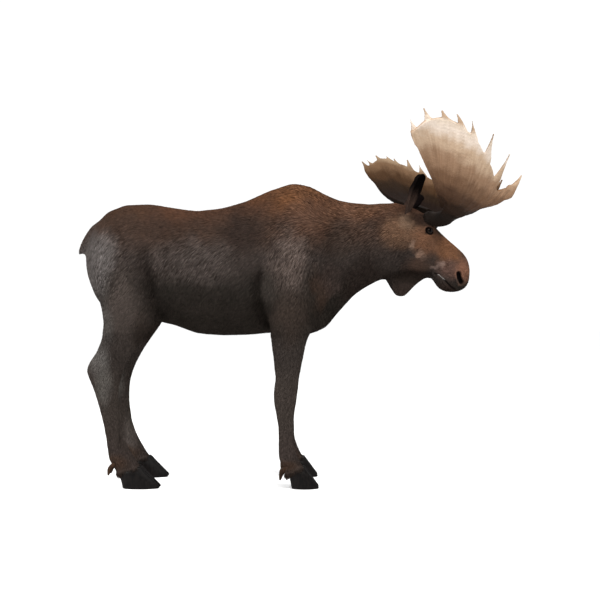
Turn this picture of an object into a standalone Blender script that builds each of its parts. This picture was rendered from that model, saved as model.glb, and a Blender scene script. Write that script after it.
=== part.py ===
"""A bull moose standing square, life size, as a still museum model.

Frame: +X towards the nose, +Y towards the animal's left, +Z up, in metres. The origin is on the
ground under the middle of the whole animal, antlers included.

The flesh is shaped as overlapping lofts, fused into one body, thinned out to a plain faceted
surface and then parted into its named pieces by thin cuts. Antlers, ears, eyes, tail and hooves
are made beside it and seated in it with a small gap.
"""

import math

import bpy
import bmesh
from mathutils import Matrix, Vector

# ---- driving dimensions, metres ----
GAP = 0.0005               # clearance left round a seated piece
CUT = 0.0008               # width of the thin cuts that part the body
FUSE_VOXEL = 0.013         # grid that fuses the overlapping lofts
BODY_TRIANGLES = 3500      # facets kept for the whole body
ANTLER_TRIANGLES = 760     # facets kept for one antler
FORE_TRACK = 0.185         # middle plane to a front foot's centre
HIND_TRACK = 0.178         # middle plane to a hind foot's centre
RING = 24                  # corners of a loft's section
HEAD_TURN = math.radians(4.5)      # the head looks a little to its left
NECK_PIVOT = Vector((0.62, 0.0, 1.66))
HEAD_SLOPE = math.radians(36.0)    # the head's axis below the level
EYE_RADIUS = 0.028
EYE_PLACE = Vector((0.846, 0.088, 1.676))

# Trunk and neck in upright sections: x, top z, bottom z, half width, share of the height at
# which the section is widest, roundness (1 is an ellipse, less is squarer, more is leaner).
TRUNK = (
    (-1.434, 1.590, 1.420, 0.040, 0.50, 1.00),
    (-1.416, 1.640, 1.350, 0.085, 0.50, 1.00),
    (-1.372, 1.728, 1.240, 0.140, 0.52, 1.00),
    (-1.290, 1.815, 1.120, 0.205, 0.55, 1.04),
    (-1.170, 1.862, 1.075, 0.245, 0.56, 1.04),
    (-1.000, 1.868, 1.080, 0.262, 0.56, 1.08),
    (-0.840, 1.841, 1.046, 0.270, 0.52, 1.08),
    (-0.690, 1.821, 0.990, 0.292, 0.48, 1.05),
    (-0.520, 1.840, 0.976, 0.315, 0.45, 1.04),
    (-0.360, 1.888, 0.980, 0.315, 0.43, 1.08),
    (-0.210, 1.960, 0.992, 0.290, 0.41, 1.20),
    (-0.050, 2.016, 0.982, 0.255, 0.40, 1.34),
    (0.070, 1.994, 0.980, 0.235, 0.40, 1.34),
    (0.180, 1.932, 1.030, 0.205, 0.43, 1.24),
    (0.270, 1.893, 1.144, 0.176, 0.46, 1.12),
    (0.370, 1.876, 1.253, 0.158, 0.48, 1.08),
    (0.470, 1.869, 1.316, 0.148, 0.50, 1.06),
    (0.570, 1.876, 1.368, 0.140, 0.52, 1.06),
    (0.660, 1.872, 1.430, 0.128, 0.54, 1.06),
)

# The head along its own sloping axis from NECK_PIVOT: distance, height above the axis, depth
# below it, half width, share of the height where widest, roundness.
HEAD = (
    (-0.090, 0.150, 0.150, 0.090, 0.50, 1.00),
    (-0.030, 0.215, 0.190, 0.118, 0.52, 0.96),
    (0.050, 0.243, 0.215, 0.128, 0.55, 0.92),
    (0.130, 0.229, 0.200, 0.130, 0.60, 0.92),
    (0.195, 0.216, 0.165, 0.124, 0.64, 0.92),
    (0.260, 0.206, 0.125, 0.104, 0.62, 0.92),
    (0.330, 0.200, 0.100, 0.088, 0.55, 0.92),
    (0.400, 0.196, 0.084, 0.084, 0.50, 0.88),
    (0.455, 0.191, 0.113, 0.089, 0.48, 0.84),
    (0.508, 0.176, 0.110, 0.093, 0.47, 0.84),
    (0.555, 0.137, 0.086, 0.088, 0.48, 0.84),
    (0.592, 0.089, 0.051, 0.073, 0.50, 0.88),
    (0.616, 0.044, 0.015, 0.043, 0.50, 1.00),
)

# The bell under the throat in level sections: z, back x, front x, distance from the middle
# plane, half width.
BELL = (
    (1.460, 0.600, 0.850, 0.0, 0.066),
    (1.400, 0.568, 0.872, 0.0, 0.054),
    (1.365, 0.570, 0.852, 0.0, 0.045),
    (1.330, 0.580, 0.804, 0.0, 0.041),
    (1.295, 0.598, 0.764, 0.0, 0.036),
    (1.258, 0.622, 0.735, 0.0, 0.029),
    (1.230, 0.654, 0.710, 0.0, 0.014),
)

# Legs in level sections: z, back x, front x, distance from the middle plane, half width.
FORE_LEG = (
    (1.800, -0.170, -0.010, 0.080, 0.060),
    (1.620, -0.225, 0.090, 0.126, 0.098),
    (1.460, -0.240, 0.145, 0.156, 0.114),
    (1.310, -0.238, 0.162, 0.168, 0.116),
    (1.180, -0.226, 0.134, 0.174, 0.106),
    (1.060, -0.212, 0.092, 0.180, 0.090),
    (0.950, -0.195, 0.051, 0.182, 0.074),
    (0.860, -0.183, 0.031, 0.184, 0.065),
    (0.760, -0.171, 0.012, 0.185, 0.057),
    (0.695, -0.166, -0.001, 0.185, 0.055),
    (0.640, -0.179, -0.005, 0.185, 0.057),
    (0.585, -0.182, -0.012, 0.185, 0.056),
    (0.525, -0.173, -0.021, 0.185, 0.047),
    (0.450, -0.158, -0.031, 0.185, 0.040),
    (0.370, -0.149, -0.034, 0.185, 0.037),
    (0.300, -0.146, -0.034, 0.185, 0.040),
    (0.250, -0.145, -0.025, 0.185, 0.046),
    (0.205, -0.147, -0.008, 0.185, 0.052),
    (0.160, -0.138, 0.012, 0.185, 0.054),
    (0.120, -0.116, 0.028, 0.185, 0.054),
    (0.070, -0.080, 0.056, 0.185, 0.052),
    (0.040, -0.070, 0.060, 0.185, 0.050),
)
HIND_LEG = (
    (1.720, -1.300, -1.050, 0.116, 0.090),
    (1.580, -1.366, -0.975, 0.138, 0.116),
    (1.430, -1.362, -0.935, 0.152, 0.124),
    (1.290, -1.335, -0.924, 0.160, 0.120),
    (1.160, -1.298, -0.922, 0.164, 0.108),
    (1.060, -1.284, -0.950, 0.167, 0.094),
    (0.960, -1.300, -1.021, 0.170, 0.076),
    (0.880, -1.333, -1.075, 0.173, 0.062),
    (0.810, -1.387, -1.113, 0.175, 0.054),
    (0.755, -1.403, -1.138, 0.176, 0.052),
    (0.700, -1.378, -1.158, 0.177, 0.049),
    (0.630, -1.348, -1.171, 0.178, 0.045),
    (0.520, -1.316, -1.172, 0.178, 0.038),
    (0.400, -1.286, -1.157, 0.178, 0.036),
    (0.310, -1.269, -1.130, 0.178, 0.040),
    (0.250, -1.259, -1.102, 0.178, 0.048),
    (0.200, -1.256, -1.070, 0.178, 0.052),
    (0.160, -1.242, -1.048, 0.178, 0.053),
    (0.120, -1.210, -1.034, 0.178, 0.053),
    (0.070, -1.168, -1.020, 0.178, 0.051),
    (0.040, -1.160, -1.010, 0.178, 0.050),
)

# Muscles and bones that stand out: x, distance from the middle plane, z, radii along x, y, z.
SWELLINGS = (
    (-1.150, 0.170, 1.440, 0.200, 0.098, 0.220),   # haunch
    (-0.990, 0.176, 1.200, 0.085, 0.070, 0.130),   # stifle
    (-1.090, 0.150, 1.660, 0.110, 0.085, 0.120),   # point of the hip
    (-0.060, 0.172, 1.420, 0.150, 0.100, 0.240),   # shoulder
    (0.075, 0.168, 1.280, 0.090, 0.080, 0.130),    # point of the shoulder
    (-0.170, 0.190, 1.070, 0.045, 0.056, 0.090),   # elbow
    (0.085, 0.075, 1.140, 0.110, 0.090, 0.140),    # brisket
)

# Short tail lying on the rump: x, z, half thickness, half width.
TAIL = (
    (-1.305, 1.738, 0.040, 0.040),
    (-1.374, 1.690, 0.041, 0.044),
    (-1.424, 1.628, 0.037, 0.040),
    (-1.462, 1.568, 0.029, 0.032),
    (-1.491, 1.521, 0.013, 0.016),
)

# Hooves, in side view: heel x, toe x, and the hair line's height at the back and front of it.
FORE_HOOF = (-0.056, 0.122, 0.082, 0.136)
HIND_HOOF = (-1.148, -0.910, 0.088, 0.142)
HAIR_LINE_BACK = 0.050     # the hair line starts this far behind the heel
HAIR_LINE_FRONT = 0.55     # and ends at this share of the hoof's length
LID_SIZE = (0.60, 0.17, 0.20)      # slab that trims a foot along its hair line
CLAW_WIDTH = 0.060
CLAW_SPREAD = 0.0335       # a claw's middle from the foot's middle

# Dewclaws: x of the root behind the foot, root z, tip x, tip z.
FORE_DEWCLAW = (-0.118, 0.134, -0.129, 0.057)
HIND_DEWCLAW = (-1.224, 0.162, -1.240, 0.086)

PALM_GRID = (14, 6)         # facets of a palm, round the fan and along it

# ---- antlers, before the head turns; y counts outwards from the middle plane ----
BURR = Vector((0.846, 0.060, 1.762))           # where the beam leaves the skull
BEAM = (                   # x, y, z, radius
    (0.868, 0.095, 1.758, 0.044),
    (0.900, 0.142, 1.750, 0.049),
    (0.934, 0.192, 1.758, 0.052),
    (0.963, 0.242, 1.788, 0.047),
)
# Ribs of the palm from the rear edge to the brow, each from the beam out to the margin.
# The rear of the two antlers differs a little, so each has its own first two ribs.
REAR_RIBS = {
    -1: (
        ((0.908, 0.205, 1.842), (0.826, 0.375, 1.940), (0.720, 0.545, 2.045), (0.592, 0.722, 2.203)),
        ((0.922, 0.215, 1.832), (0.850, 0.425, 1.940), (0.775, 0.612, 2.080), (0.688, 0.764, 2.268)),
    ),
    1: (
        ((0.895, 0.205, 1.832), (0.747, 0.360, 1.908), (0.642, 0.530, 2.015), (0.556, 0.715, 2.222)),
        ((0.922, 0.215, 1.832), (0.832, 0.425, 1.930), (0.752, 0.612, 2.076), (0.690, 0.772, 2.300)),
    ),
}
PALM_RIBS = (
    ((0.938, 0.225, 1.815), (0.890, 0.455, 1.905), (0.850, 0.640, 2.052), (0.814, 0.778, 2.266)),
    ((0.955, 0.235, 1.795), (0.958, 0.440, 1.860), (0.965, 0.598, 1.985), (0.972, 0.712, 2.180)),
    ((0.968, 0.240, 1.778), (1.035, 0.362, 1.820), (1.095, 0.448, 1.905), (1.145, 0.495, 2.032)),
    ((0.976, 0.240, 1.765), (1.072, 0.318, 1.806), (1.152, 0.358, 1.850), (1.224, 0.350, 1.922)),
    ((0.982, 0.238, 1.758), (1.095, 0.296, 1.808), (1.210, 0.316, 1.852), (1.302, 0.286, 1.940)),
    ((0.986, 0.235, 1.752), (1.118, 0.280, 1.812), (1.262, 0.268, 1.850), (1.382, 0.224, 1.930)),
)
PALM_THICK = (0.050, 0.018)    # thickness at the beam and at the margin
TINE_FLAT = 0.62               # a tine's thickness against its width
TINE_THICK = 0.0105            # the most that half its thickness comes to
TINE_SPREAD = 1.3              # a tine flares by this much where it leaves the palm
TINE_TAPER = 2.0
TINE_FOOT = 0.75               # share of its length in the palm over which it stays wide
TINE_HEEL = 0.35               # share of its width where it starts inside the palm
TINE_TIP = 0.0035
# Tines: share of the margin from the rear edge to the brow, tip, half width at the base.
RIGHT_TINES = (
    (0.03, (0.581, 0.752, 2.272), 0.020),
    (0.15, (0.655, 0.782, 2.330), 0.025),
    (0.27, (0.757, 0.802, 2.313), 0.036),
    (0.37, (0.845, 0.802, 2.296), 0.026),
    (0.43, (0.943, 0.775, 2.266), 0.026),
    (0.52, (1.098, 0.690, 2.207), 0.036),
    (0.65, (1.256, 0.510, 2.119), 0.040),
    (0.96, (1.438, 0.205, 2.036), 0.034),
)
LEFT_TINES = (
    (0.01, (0.530, 0.752, 2.274), 0.020),
    (0.06, (0.570, 0.765, 2.288), 0.018),
    (0.13, (0.643, 0.785, 2.326), 0.024),
    (0.22, (0.722, 0.785, 2.326), 0.024),
    (0.29, (0.783, 0.790, 2.306), 0.022),
    (0.37, (0.890, 0.800, 2.299), 0.026),
    (0.44, (0.975, 0.770, 2.255), 0.026),
    (0.52, (1.085, 0.690, 2.185), 0.032),
    (0.65, (1.245, 0.520, 2.100), 0.036),
    (0.96, (1.440, 0.200, 2.066), 0.032),
)
FORK = 0.585               # share of the margin where the brow palm parts from the main palm

# ---- ears ----
EAR_ROOT = Vector((0.700, 0.108, 1.785))
RIGHT_EAR_TIP = Vector((0.782, 0.222, 2.036))
LEFT_EAR_TIP = Vector((0.865, 0.240, 1.950))
EAR_WIDTHS = (0.024, 0.036, 0.050, 0.062, 0.052, 0.010)   # half widths, root to tip
EAR_WALL = 0.012
EAR_OPENING = Vector((0.72, 0.69, 0.0))        # the way the ear's cup faces

COLOURS = {
    "coat_brown": ((0.085, 0.050, 0.033), 0.75),
    "coat_dark": ((0.045, 0.034, 0.029), 0.75),
    "coat_grey": ((0.070, 0.060, 0.054), 0.75),
    "antler": ((0.42, 0.28, 0.17), 0.60),
    "antler_base": ((0.16, 0.09, 0.05), 0.60),
    "hoof": ((0.012, 0.010, 0.009), 0.35),
    "eye": ((0.010, 0.007, 0.005), 0.06),
}


# ---- helpers ----

def clear_scene():
    for old in list(bpy.data.objects):
        bpy.data.objects.remove(old)


def material(kind):
    found = bpy.data.materials.get(kind)
    if found:
        return found
    colour, roughness = COLOURS[kind]
    new = bpy.data.materials.new(kind)
    new.use_nodes = True
    shader = new.node_tree.nodes["Principled BSDF"]
    shader.inputs["Base Color"].default_value = (*colour, 1.0)
    shader.inputs["Roughness"].default_value = roughness
    return new


def add_object(name, bm):
    """Turn a bmesh into a named object, closed and facing outwards."""
    bmesh.ops.recalc_face_normals(bm, faces=bm.faces)
    mesh = bpy.data.meshes.new(name)
    bm.to_mesh(mesh)
    bm.free()
    made = bpy.data.objects.new(name, mesh)
    bpy.context.scene.collection.objects.link(made)
    return made


def face_out(item):
    """Turn a closed mesh's faces outwards."""
    bm = bmesh.new()
    bm.from_mesh(item.data)
    bmesh.ops.recalc_face_normals(bm, faces=bm.faces)
    bm.to_mesh(item.data)
    bm.free()
    return item


def finish(item, kind):
    """Give a piece its own copy of a finish."""
    own = material(kind).copy()
    own.name = item.name
    item.data.materials.clear()
    item.data.materials.append(own)
    return item


def discard(item):
    mesh = item.data
    bpy.data.objects.remove(item)
    bpy.data.meshes.remove(mesh)


def bake(item):
    """Put the result of an object's modifiers into its mesh."""
    graph = bpy.context.evaluated_depsgraph_get()
    result = bpy.data.meshes.new_from_object(item.evaluated_get(graph))
    old = item.data
    item.modifiers.clear()
    item.data = result
    bpy.data.meshes.remove(old)
    return item


def subtract(item, cutter):
    """Cut one closed solid out of another."""
    cut = item.modifiers.new("cut", "BOOLEAN")
    cut.operation = "DIFFERENCE"
    cut.solver = "EXACT"
    cut.object = cutter
    bake(item)
    return item


def power(value, exponent):
    return math.copysign(abs(value) ** exponent, value)


def loft(name, rings):
    """Skin a row of rings of points, closed at both ends."""
    bm = bmesh.new()
    before = None
    for ring in rings:
        made = bmesh.ops.create_circle(bm, segments=len(ring), radius=1.0)["verts"]
        for corner, place in zip(made, ring):
            corner.co = place
        edges = list({edge for corner in made for edge in corner.link_edges})
        if before is None:
            bmesh.ops.contextual_create(bm, geom=edges)
        else:
            bmesh.ops.bridge_loops(bm, edges=before + edges)
        before = edges
    bmesh.ops.contextual_create(bm, geom=before)
    return add_object(name, bm)


def around(count):
    return [2 * math.pi * i / count for i in range(count)]


# ---- lofts of the flesh ----

def upright_ring(x, top, bottom, width, share, roundness):
    middle = bottom + share * (top - bottom)
    ring = []
    for angle in around(RING):
        up = power(math.sin(angle), roundness)
        reach = (top - middle) if up > 0 else (middle - bottom)
        ring.append(Vector((x, width * power(math.cos(angle), roundness), middle + reach * up)))
    return ring


def head_ring(distance, above, below, width, share, roundness):
    along = Vector((math.cos(HEAD_SLOPE), 0.0, -math.sin(HEAD_SLOPE)))
    over = Vector((math.sin(HEAD_SLOPE), 0.0, math.cos(HEAD_SLOPE)))
    flat = upright_ring(0.0, above, -below, width, share, roundness)
    start = NECK_PIVOT + along * distance
    return [start + over * corner.z + Vector((0.0, corner.y, 0.0)) for corner in flat]


def level_ring(z, back, front, aside, width, count=RING):
    centre = (back + front) / 2
    reach = (front - back) / 2
    return [Vector((centre + reach * math.cos(a), aside + width * math.sin(a), z))
            for a in around(count)]


def mirror_side(ring, side):
    return [Vector((p.x, p.y * side, p.z)) for p in ring]


def turned(point):
    """A point of the head after the head has turned on the neck."""
    turn = Matrix.Rotation(HEAD_TURN, 3, "Z")
    return turn @ (point - NECK_PIVOT) + NECK_PIVOT


def swelling(index, x, aside, z, rx, ry, rz, side):
    bm = bmesh.new()
    shape = Matrix.Translation((x, aside * side, z)) @ Matrix.Diagonal((rx, ry, rz, 1.0))
    bmesh.ops.create_icosphere(bm, subdivisions=3, radius=1.0, matrix=shape)
    return add_object(f"swelling_{index}_{side}", bm)


def flesh_lofts():
    trunk = loft("trunk_loft", [upright_ring(*section) for section in TRUNK])
    head = loft("head_loft", [[turned(p) for p in head_ring(*section)] for section in HEAD])
    bell = loft("bell_loft", [[turned(p) for p in level_ring(*section)] for section in BELL])
    pieces = [trunk, head, bell]
    for side in (-1, 1):
        for name, sections in (("fore", FORE_LEG), ("hind", HIND_LEG)):
            rings = [mirror_side(level_ring(*section), side) for section in sections]
            pieces.append(loft(f"{name}_{side}", rings))
        for index, section in enumerate(SWELLINGS):
            pieces.append(swelling(index, *section, side))
    return pieces


def join(name, pieces):
    bm = bmesh.new()
    for piece in pieces:
        bm.from_mesh(piece.data)
        discard(piece)
    return add_object(name, bm)


def thin_out(item, triangles):
    """Bring a mesh down to about a number of triangles."""
    item.data.calc_loop_triangles()
    thin = item.modifiers.new("thin", "DECIMATE")
    thin.ratio = min(1.0, triangles / len(item.data.loop_triangles))
    bake(item)
    bm = bmesh.new()
    bm.from_mesh(item.data)
    bmesh.ops.triangulate(bm, faces=bm.faces)
    bm.to_mesh(item.data)
    bm.free()
    return item


def fuse(item, voxel, passes, triangles):
    """Fuse what overlaps, soften it and thin it out to a number of triangles."""
    remesh = item.modifiers.new("fuse", "REMESH")
    remesh.mode = "VOXEL"
    remesh.voxel_size = voxel
    soften = item.modifiers.new("soften", "SMOOTH")
    soften.factor = 0.5
    soften.iterations = passes
    bake(item)
    return thin_out(item, triangles)


# ---- seated pieces ----

def swollen(item, by):
    """A copy of a piece grown by a small gap, as the cutter for its seat."""
    bm = bmesh.new()
    bm.from_mesh(item.data)
    bm.normal_update()
    moves = [corner.normal * by for corner in bm.verts]
    for corner, move in zip(bm.verts, moves):
        corner.co += move
    cutter = add_object(item.name + "_seat", bm)
    cutter.hide_render = True
    cutter.display_type = "WIRE"
    return cutter


def seat(holder, item):
    cutter = swollen(item, GAP)
    subtract(holder, cutter)
    discard(cutter)


def path_rings(points, radii, count, across=None, thicks=None):
    """Sections square to a path: round, or of a given half thickness across their width."""
    rings = []
    last = len(points) - 1
    for index, point in enumerate(points):
        ahead = (points[min(index + 1, last)] - points[max(index - 1, 0)]).normalized()
        wide = (across or Vector((0.0, 1.0, 0.0))).copy()
        wide = (wide - ahead * wide.dot(ahead)).normalized()
        thin = ahead.cross(wide)
        radius = radii[index]
        thick = thicks[index] if thicks else radius
        rings.append([point + wide * (radius * math.cos(a)) + thin * (thick * math.sin(a))
                      for a in around(count)])
    return rings


def tail():
    rings = []
    for x, z, thick, width in TAIL:
        slope = Vector((-0.62, 0.0, 0.78))
        ring = [Vector((x, 0.0, z)) + slope * (thick * math.cos(a))
                + Vector((0.0, width * math.sin(a), 0.0)) for a in around(12)]
        rings.append(ring)
    return finish(loft("tail", rings), "coat_dark")


def eye(name, side):
    bm = bmesh.new()
    place = turned(Vector((EYE_PLACE.x, EYE_PLACE.y * side, EYE_PLACE.z)))
    bmesh.ops.create_icosphere(bm, subdivisions=2, radius=EYE_RADIUS,
                               matrix=Matrix.Translation(place))
    return finish(add_object(name, bm), "eye")


def ear(name, tip, side):
    """A leaf-shaped cup, open towards the front and outside."""
    axis = tip - EAR_ROOT
    along = axis.normalized()
    out = (EAR_OPENING - along * EAR_OPENING.dot(along)).normalized()
    across = along.cross(out)
    steps = len(EAR_WIDTHS) - 1
    rings = []
    for index, width in enumerate(EAR_WIDTHS):
        share = index / steps
        middle = EAR_ROOT + axis * share
        depth = width * 0.75
        hollow = (depth - EAR_WALL) * min(1.0, share * 3.0) - depth * 0.5 * max(0.0, 1 - share * 3.0)
        lip = max(width - EAR_WALL * 0.6, 0.002)
        outer = []
        inner = []
        for step in range(7):
            angle = math.pi * (step / 6 - 0.5)
            back = math.cos(angle)
            outer.append(middle + across * (width * math.sin(angle)) - out * (depth * back))
            inner.append(middle + across * (lip * math.sin(angle)) - out * (hollow * back - 0.002))
        ring = outer + inner[::-1]
        rings.append([turned(Vector((p.x, p.y * side, p.z))) for p in ring])
    return finish(loft(name, rings), "coat_dark")


# ---- antlers ----

def on_curve(points, share):
    """A point at a share of a smooth curve through the given ones."""
    last = len(points) - 1
    place = share * last
    k = min(int(place), last - 1)
    t = place - k
    p1 = points[k]
    p2 = points[k + 1]
    p0 = points[k - 1] if k else 2 * p1 - p2
    p3 = points[k + 2] if k + 2 <= last else 2 * p2 - p1
    curve = 2 * p1 + (p2 - p0) * t + (2 * p0 - 5 * p1 + 4 * p2 - p3) * t * t
    return 0.5 * (curve + (3 * p1 - 3 * p2 + p3 - p0) * t ** 3)


def palm_point(share, reach, side):
    """A point of the palm's middle sheet: share from rear to brow, reach from beam to margin."""
    ribs = REAR_RIBS[side] + PALM_RIBS
    across = [on_curve([Vector(p) for p in rib], reach) for rib in ribs]
    return on_curve(across, share)


def palm(name, side):
    """The palm as one curved sheet, thick at the beam and thin at the margin."""
    bm = bmesh.new()
    bmesh.ops.create_grid(bm, x_segments=PALM_GRID[0], y_segments=PALM_GRID[1], size=1.0)
    reaches = []
    for corner in bm.verts:
        share = (corner.co.x + 1) / 2
        reach = (corner.co.y + 1) / 2
        reaches.append(reach)
        corner.co = palm_point(share, reach, side)
    sheet = add_object(name, bm)
    group = sheet.vertex_groups.new(name="thick")
    for index, reach in enumerate(reaches):
        group.add([index], (1.0 - reach) ** 2, "REPLACE")
    thick = sheet.modifiers.new("thickness", "SOLIDIFY")
    thick.thickness = PALM_THICK[0]
    thick.thickness_vertex_group = PALM_THICK[1] / PALM_THICK[0]
    thick.vertex_group = group.name
    thick.offset = 0.0
    return face_out(bake(sheet))


def tine(name, share, tip, width, side):
    """A flat pointed tine that leaves the palm along its fan and bends up to its tip."""
    foot = palm_point(share, 0.80, side)
    leave = (palm_point(share, 1.0, side) - foot).normalized()
    knee = foot + leave * ((tip - foot).length * 0.6)
    inside = TINE_FOOT * (palm_point(share, 1.0, side) - foot).length / (tip - foot).length
    margin = palm_point(min(share + 0.03, 1.0), 1.0, side) - palm_point(max(share - 0.03, 0.0), 1.0, side)
    path = []
    radii = []
    for t in (0.0, 0.3, 0.55, 0.8, 1.0):
        path.append(foot * (1 - t) ** 2 + knee * (2 * t * (1 - t)) + tip * t ** 2)
        clear = max(0.0, (t - inside) / (1 - inside))
        foot_width = min(1.0, TINE_HEEL + t / TINE_HEEL)
        radii.append(TINE_TIP + TINE_SPREAD * width * (1 - clear) ** TINE_TAPER * foot_width)
    thicks = [min(radius * TINE_FLAT, TINE_THICK) for radius in radii]
    return loft(name, path_rings(path, radii, 6, margin, thicks))


def union(item, other):
    """Weld another closed solid to one."""
    weld = item.modifiers.new("weld", "BOOLEAN")
    weld.operation = "UNION"
    weld.solver = "EXACT"
    weld.object = other
    bake(item)
    discard(other)


def antler(name, tines, side):
    """One antler in three pieces: its beam, its main palm and its brow palm."""
    points = [BURR] + [Vector(section[:3]) for section in BEAM]
    radii = [0.045] + [section[3] for section in BEAM]
    whole = palm(name, side)
    union(whole, loft(f"{name}_beam", path_rings(points, radii, 12)))
    for index, (share, tip, width) in enumerate(tines):
        union(whole, tine(f"{name}_tine_{index}", share, Vector(tip), width, side))
    thin_out(whole, ANTLER_TRIANGLES)
    for corner in whole.data.vertices:
        place = corner.co
        corner.co = turned(Vector((place.x, place.y * side, place.z)))
    return face_out(whole)


def part_antler(whole, side_name, side):
    """Part an antler at its main forks: the beam, the brow palm and the main palm."""
    def place(share, reach):
        at = palm_point(share, reach, side)
        return turned(Vector((at.x, at.y * side, at.z)))
    start = place(FORK, 0.0)
    end = place(FORK, 1.15)
    sheet_normal = (place(FORK + 0.1, 0.5) - place(FORK - 0.1, 0.5)).cross(end - start)
    cut(whole, (start + end) / 2, (end - start).cross(sheet_normal),
        ((end - start).length, 0.26), sheet_normal)
    outwards = place(0.5, 0.20) - place(0.5, 0.04)
    cut(whole, place(0.28, 0.13), outwards, (0.50, 0.50))
    bodies = sorted(islands(whole), key=lambda bm: abs(middle_of(bm).y))
    assert len(bodies) == 3, len(bodies)
    for kind, bm in zip(("beam", "brow", "palm"), bodies):
        finish(add_object(f"antler_{kind}_{side_name}", bm), "antler_base" if kind == "beam" else "antler")
    discard(whole)


# ---- hooves ----

def claw(name, hoof, track, side, step):
    """One half of a cloven hoof, flat underneath, trimmed along the hair line."""
    heel, toe = hoof[:2]
    length = toe - heel
    rings = []
    for z, back, front, width in ((0.0, 0.03, 1.00, 0.90), (0.012, 0.00, 1.00, 1.00),
                                  (0.050, -0.04, 0.85, 1.02), (0.095, -0.12, 0.66, 1.00),
                                  (0.165, -0.28, 0.44, 0.92)):
        middle = heel + length * (back + front) / 2
        reach = length * (front - back) / 2
        ring = []
        for a in around(12):
            narrow = 1.0 - 0.42 * max(0.0, math.cos(a)) ** 2
            toe_in = -0.006 * max(0.0, math.cos(a)) ** 2
            y = CLAW_WIDTH / 2 * width * math.sin(a) * narrow
            aside = track * side + step * (CLAW_SPREAD + toe_in) + y
            ring.append(Vector((middle + reach * math.cos(a), aside, z)))
        rings.append(ring)
    made = loft(name, rings)
    lid = hair_line_lid(hoof, track * side, -GAP, True)
    subtract(made, lid)
    discard(lid)
    return finish(made, "hoof")


def hair_line_lid(hoof, middle, shift, above):
    """A slab whose face lies along the hair line; above it to trim a claw, below for a leg."""
    heel, toe, back_height, front_height = hoof
    back = Vector((heel - HAIR_LINE_BACK, middle, back_height))
    front = Vector((heel + (toe - heel) * HAIR_LINE_FRONT, middle, front_height))
    along = (front - back).normalized()
    over = Vector((-along.z, 0.0, along.x))
    length, width, thickness = LID_SIZE
    centre = (back + front) / 2 + over * (shift + (thickness / 2 if above else -thickness / 2))
    bm = bmesh.new()
    turn = Matrix((along, Vector((0.0, 1.0, 0.0)), over)).transposed().to_4x4()
    size = Matrix.Diagonal((length, width, thickness, 1.0))
    bmesh.ops.create_cube(bm, size=1.0, matrix=Matrix.Translation(centre) @ turn @ size)
    return add_object("hair_line", bm)


def dewclaw(name, shape, track, side, step):
    root_x, root_z, tip_x, tip_z = shape
    aside = track * side + step * 0.026
    root = Vector((root_x + 0.030, aside, root_z))
    tip = Vector((tip_x, aside + step * 0.010, tip_z))
    middle = root.lerp(tip, 0.5) + Vector((-0.012, 0.0, 0.012))
    rings = path_rings([root, middle, tip], (0.017, 0.018, 0.006), 6)
    return finish(loft(name, rings), "hoof")


# ---- parting ----

def slab(centre, normal, size, across=(0.0, 1.0, 0.0)):
    """A thin plate square to a direction, as a cutter: its length, and its width across."""
    over = Vector(normal).normalized()
    across = Vector(across)
    across = (across - over * across.dot(over)).normalized()
    along = across.cross(over)
    bm = bmesh.new()
    turn = Matrix((along, across, over)).transposed().to_4x4()
    shape = Matrix.Diagonal((size[0], size[1], CUT, 1.0))
    bmesh.ops.create_cube(bm, size=1.0, matrix=Matrix.Translation(centre) @ turn @ shape)
    return add_object("slab", bm)


def cut(item, centre, normal, size, across=(0.0, 1.0, 0.0)):
    plate = slab(centre, normal, size, across)
    subtract(item, plate)
    discard(plate)


def islands(item):
    """Split a mesh into its separate closed bodies."""
    bm = bmesh.new()
    bm.from_mesh(item.data)
    left = set(bm.verts)
    groups = []
    while left:
        seed = left.pop()
        group = {seed}
        front = [seed]
        while front:
            for edge in front.pop().link_edges:
                for corner in edge.verts:
                    if corner not in group:
                        group.add(corner)
                        front.append(corner)
        left -= group
        groups.append([corner.index for corner in group])
    bm.free()
    bodies = []
    for group in groups:
        part = bmesh.new()
        part.from_mesh(item.data)
        part.verts.ensure_lookup_table()
        keep = set(group)
        spare = [corner for corner in part.verts if corner.index not in keep]
        bmesh.ops.delete(part, geom=spare, context="VERTS")
        bodies.append(part)
    return bodies


def middle_of(bm):
    total = Vector()
    for corner in bm.verts:
        total += corner.co
    return total / len(bm.verts)


def name_flesh(place):
    side = "left" if place.y > 0 else "right"
    end = "front" if place.x > -0.6 else "hind"
    if place.z < 0.60 and end == "front":
        return f"front_foreleg_{side}", "coat_grey"
    if place.z < 0.70 and end == "hind":
        return f"hind_foreleg_{side}", "coat_grey"
    if place.z < 0.97:
        return f"{end}_leg_{side}", "coat_grey"
    if place.x > 0.60:
        return ("head", "coat_brown") if place.z > 1.42 else ("bell", "coat_dark")
    if place.x > 0.22:
        return "neck", "coat_brown"
    return "trunk", "coat_brown"


def part_flesh(body):
    cut(body, (-0.6, 0.0, 0.962), (0, 0, 1), (2.2, 1.0))             # all four legs
    cut(body, (-0.08, 0.0, 0.600), (0, 0, 1), (0.5, 1.0))            # knees
    cut(body, (-1.25, 0.0, 0.720), (0, 0, 1), (0.6, 1.0))            # hocks
    cut(body, (0.235, 0.0, 1.470), (1.0, 0, -0.08), (1.3, 1.0))      # neck from trunk
    cut(body, (0.622, 0.0, 1.640), (0.99, 0, -0.13), (0.9, 0.7))     # head from neck
    cut(body, (0.735, 0.0, 1.375), (0.18, 0, 0.984), (0.355, 0.4))   # bell
    pieces = {}
    for bm in islands(body):
        name, kind = name_flesh(middle_of(bm))
        assert name not in pieces, name
        pieces[name] = finish(add_object(name, bm), kind)
    discard(body)
    return pieces


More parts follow.
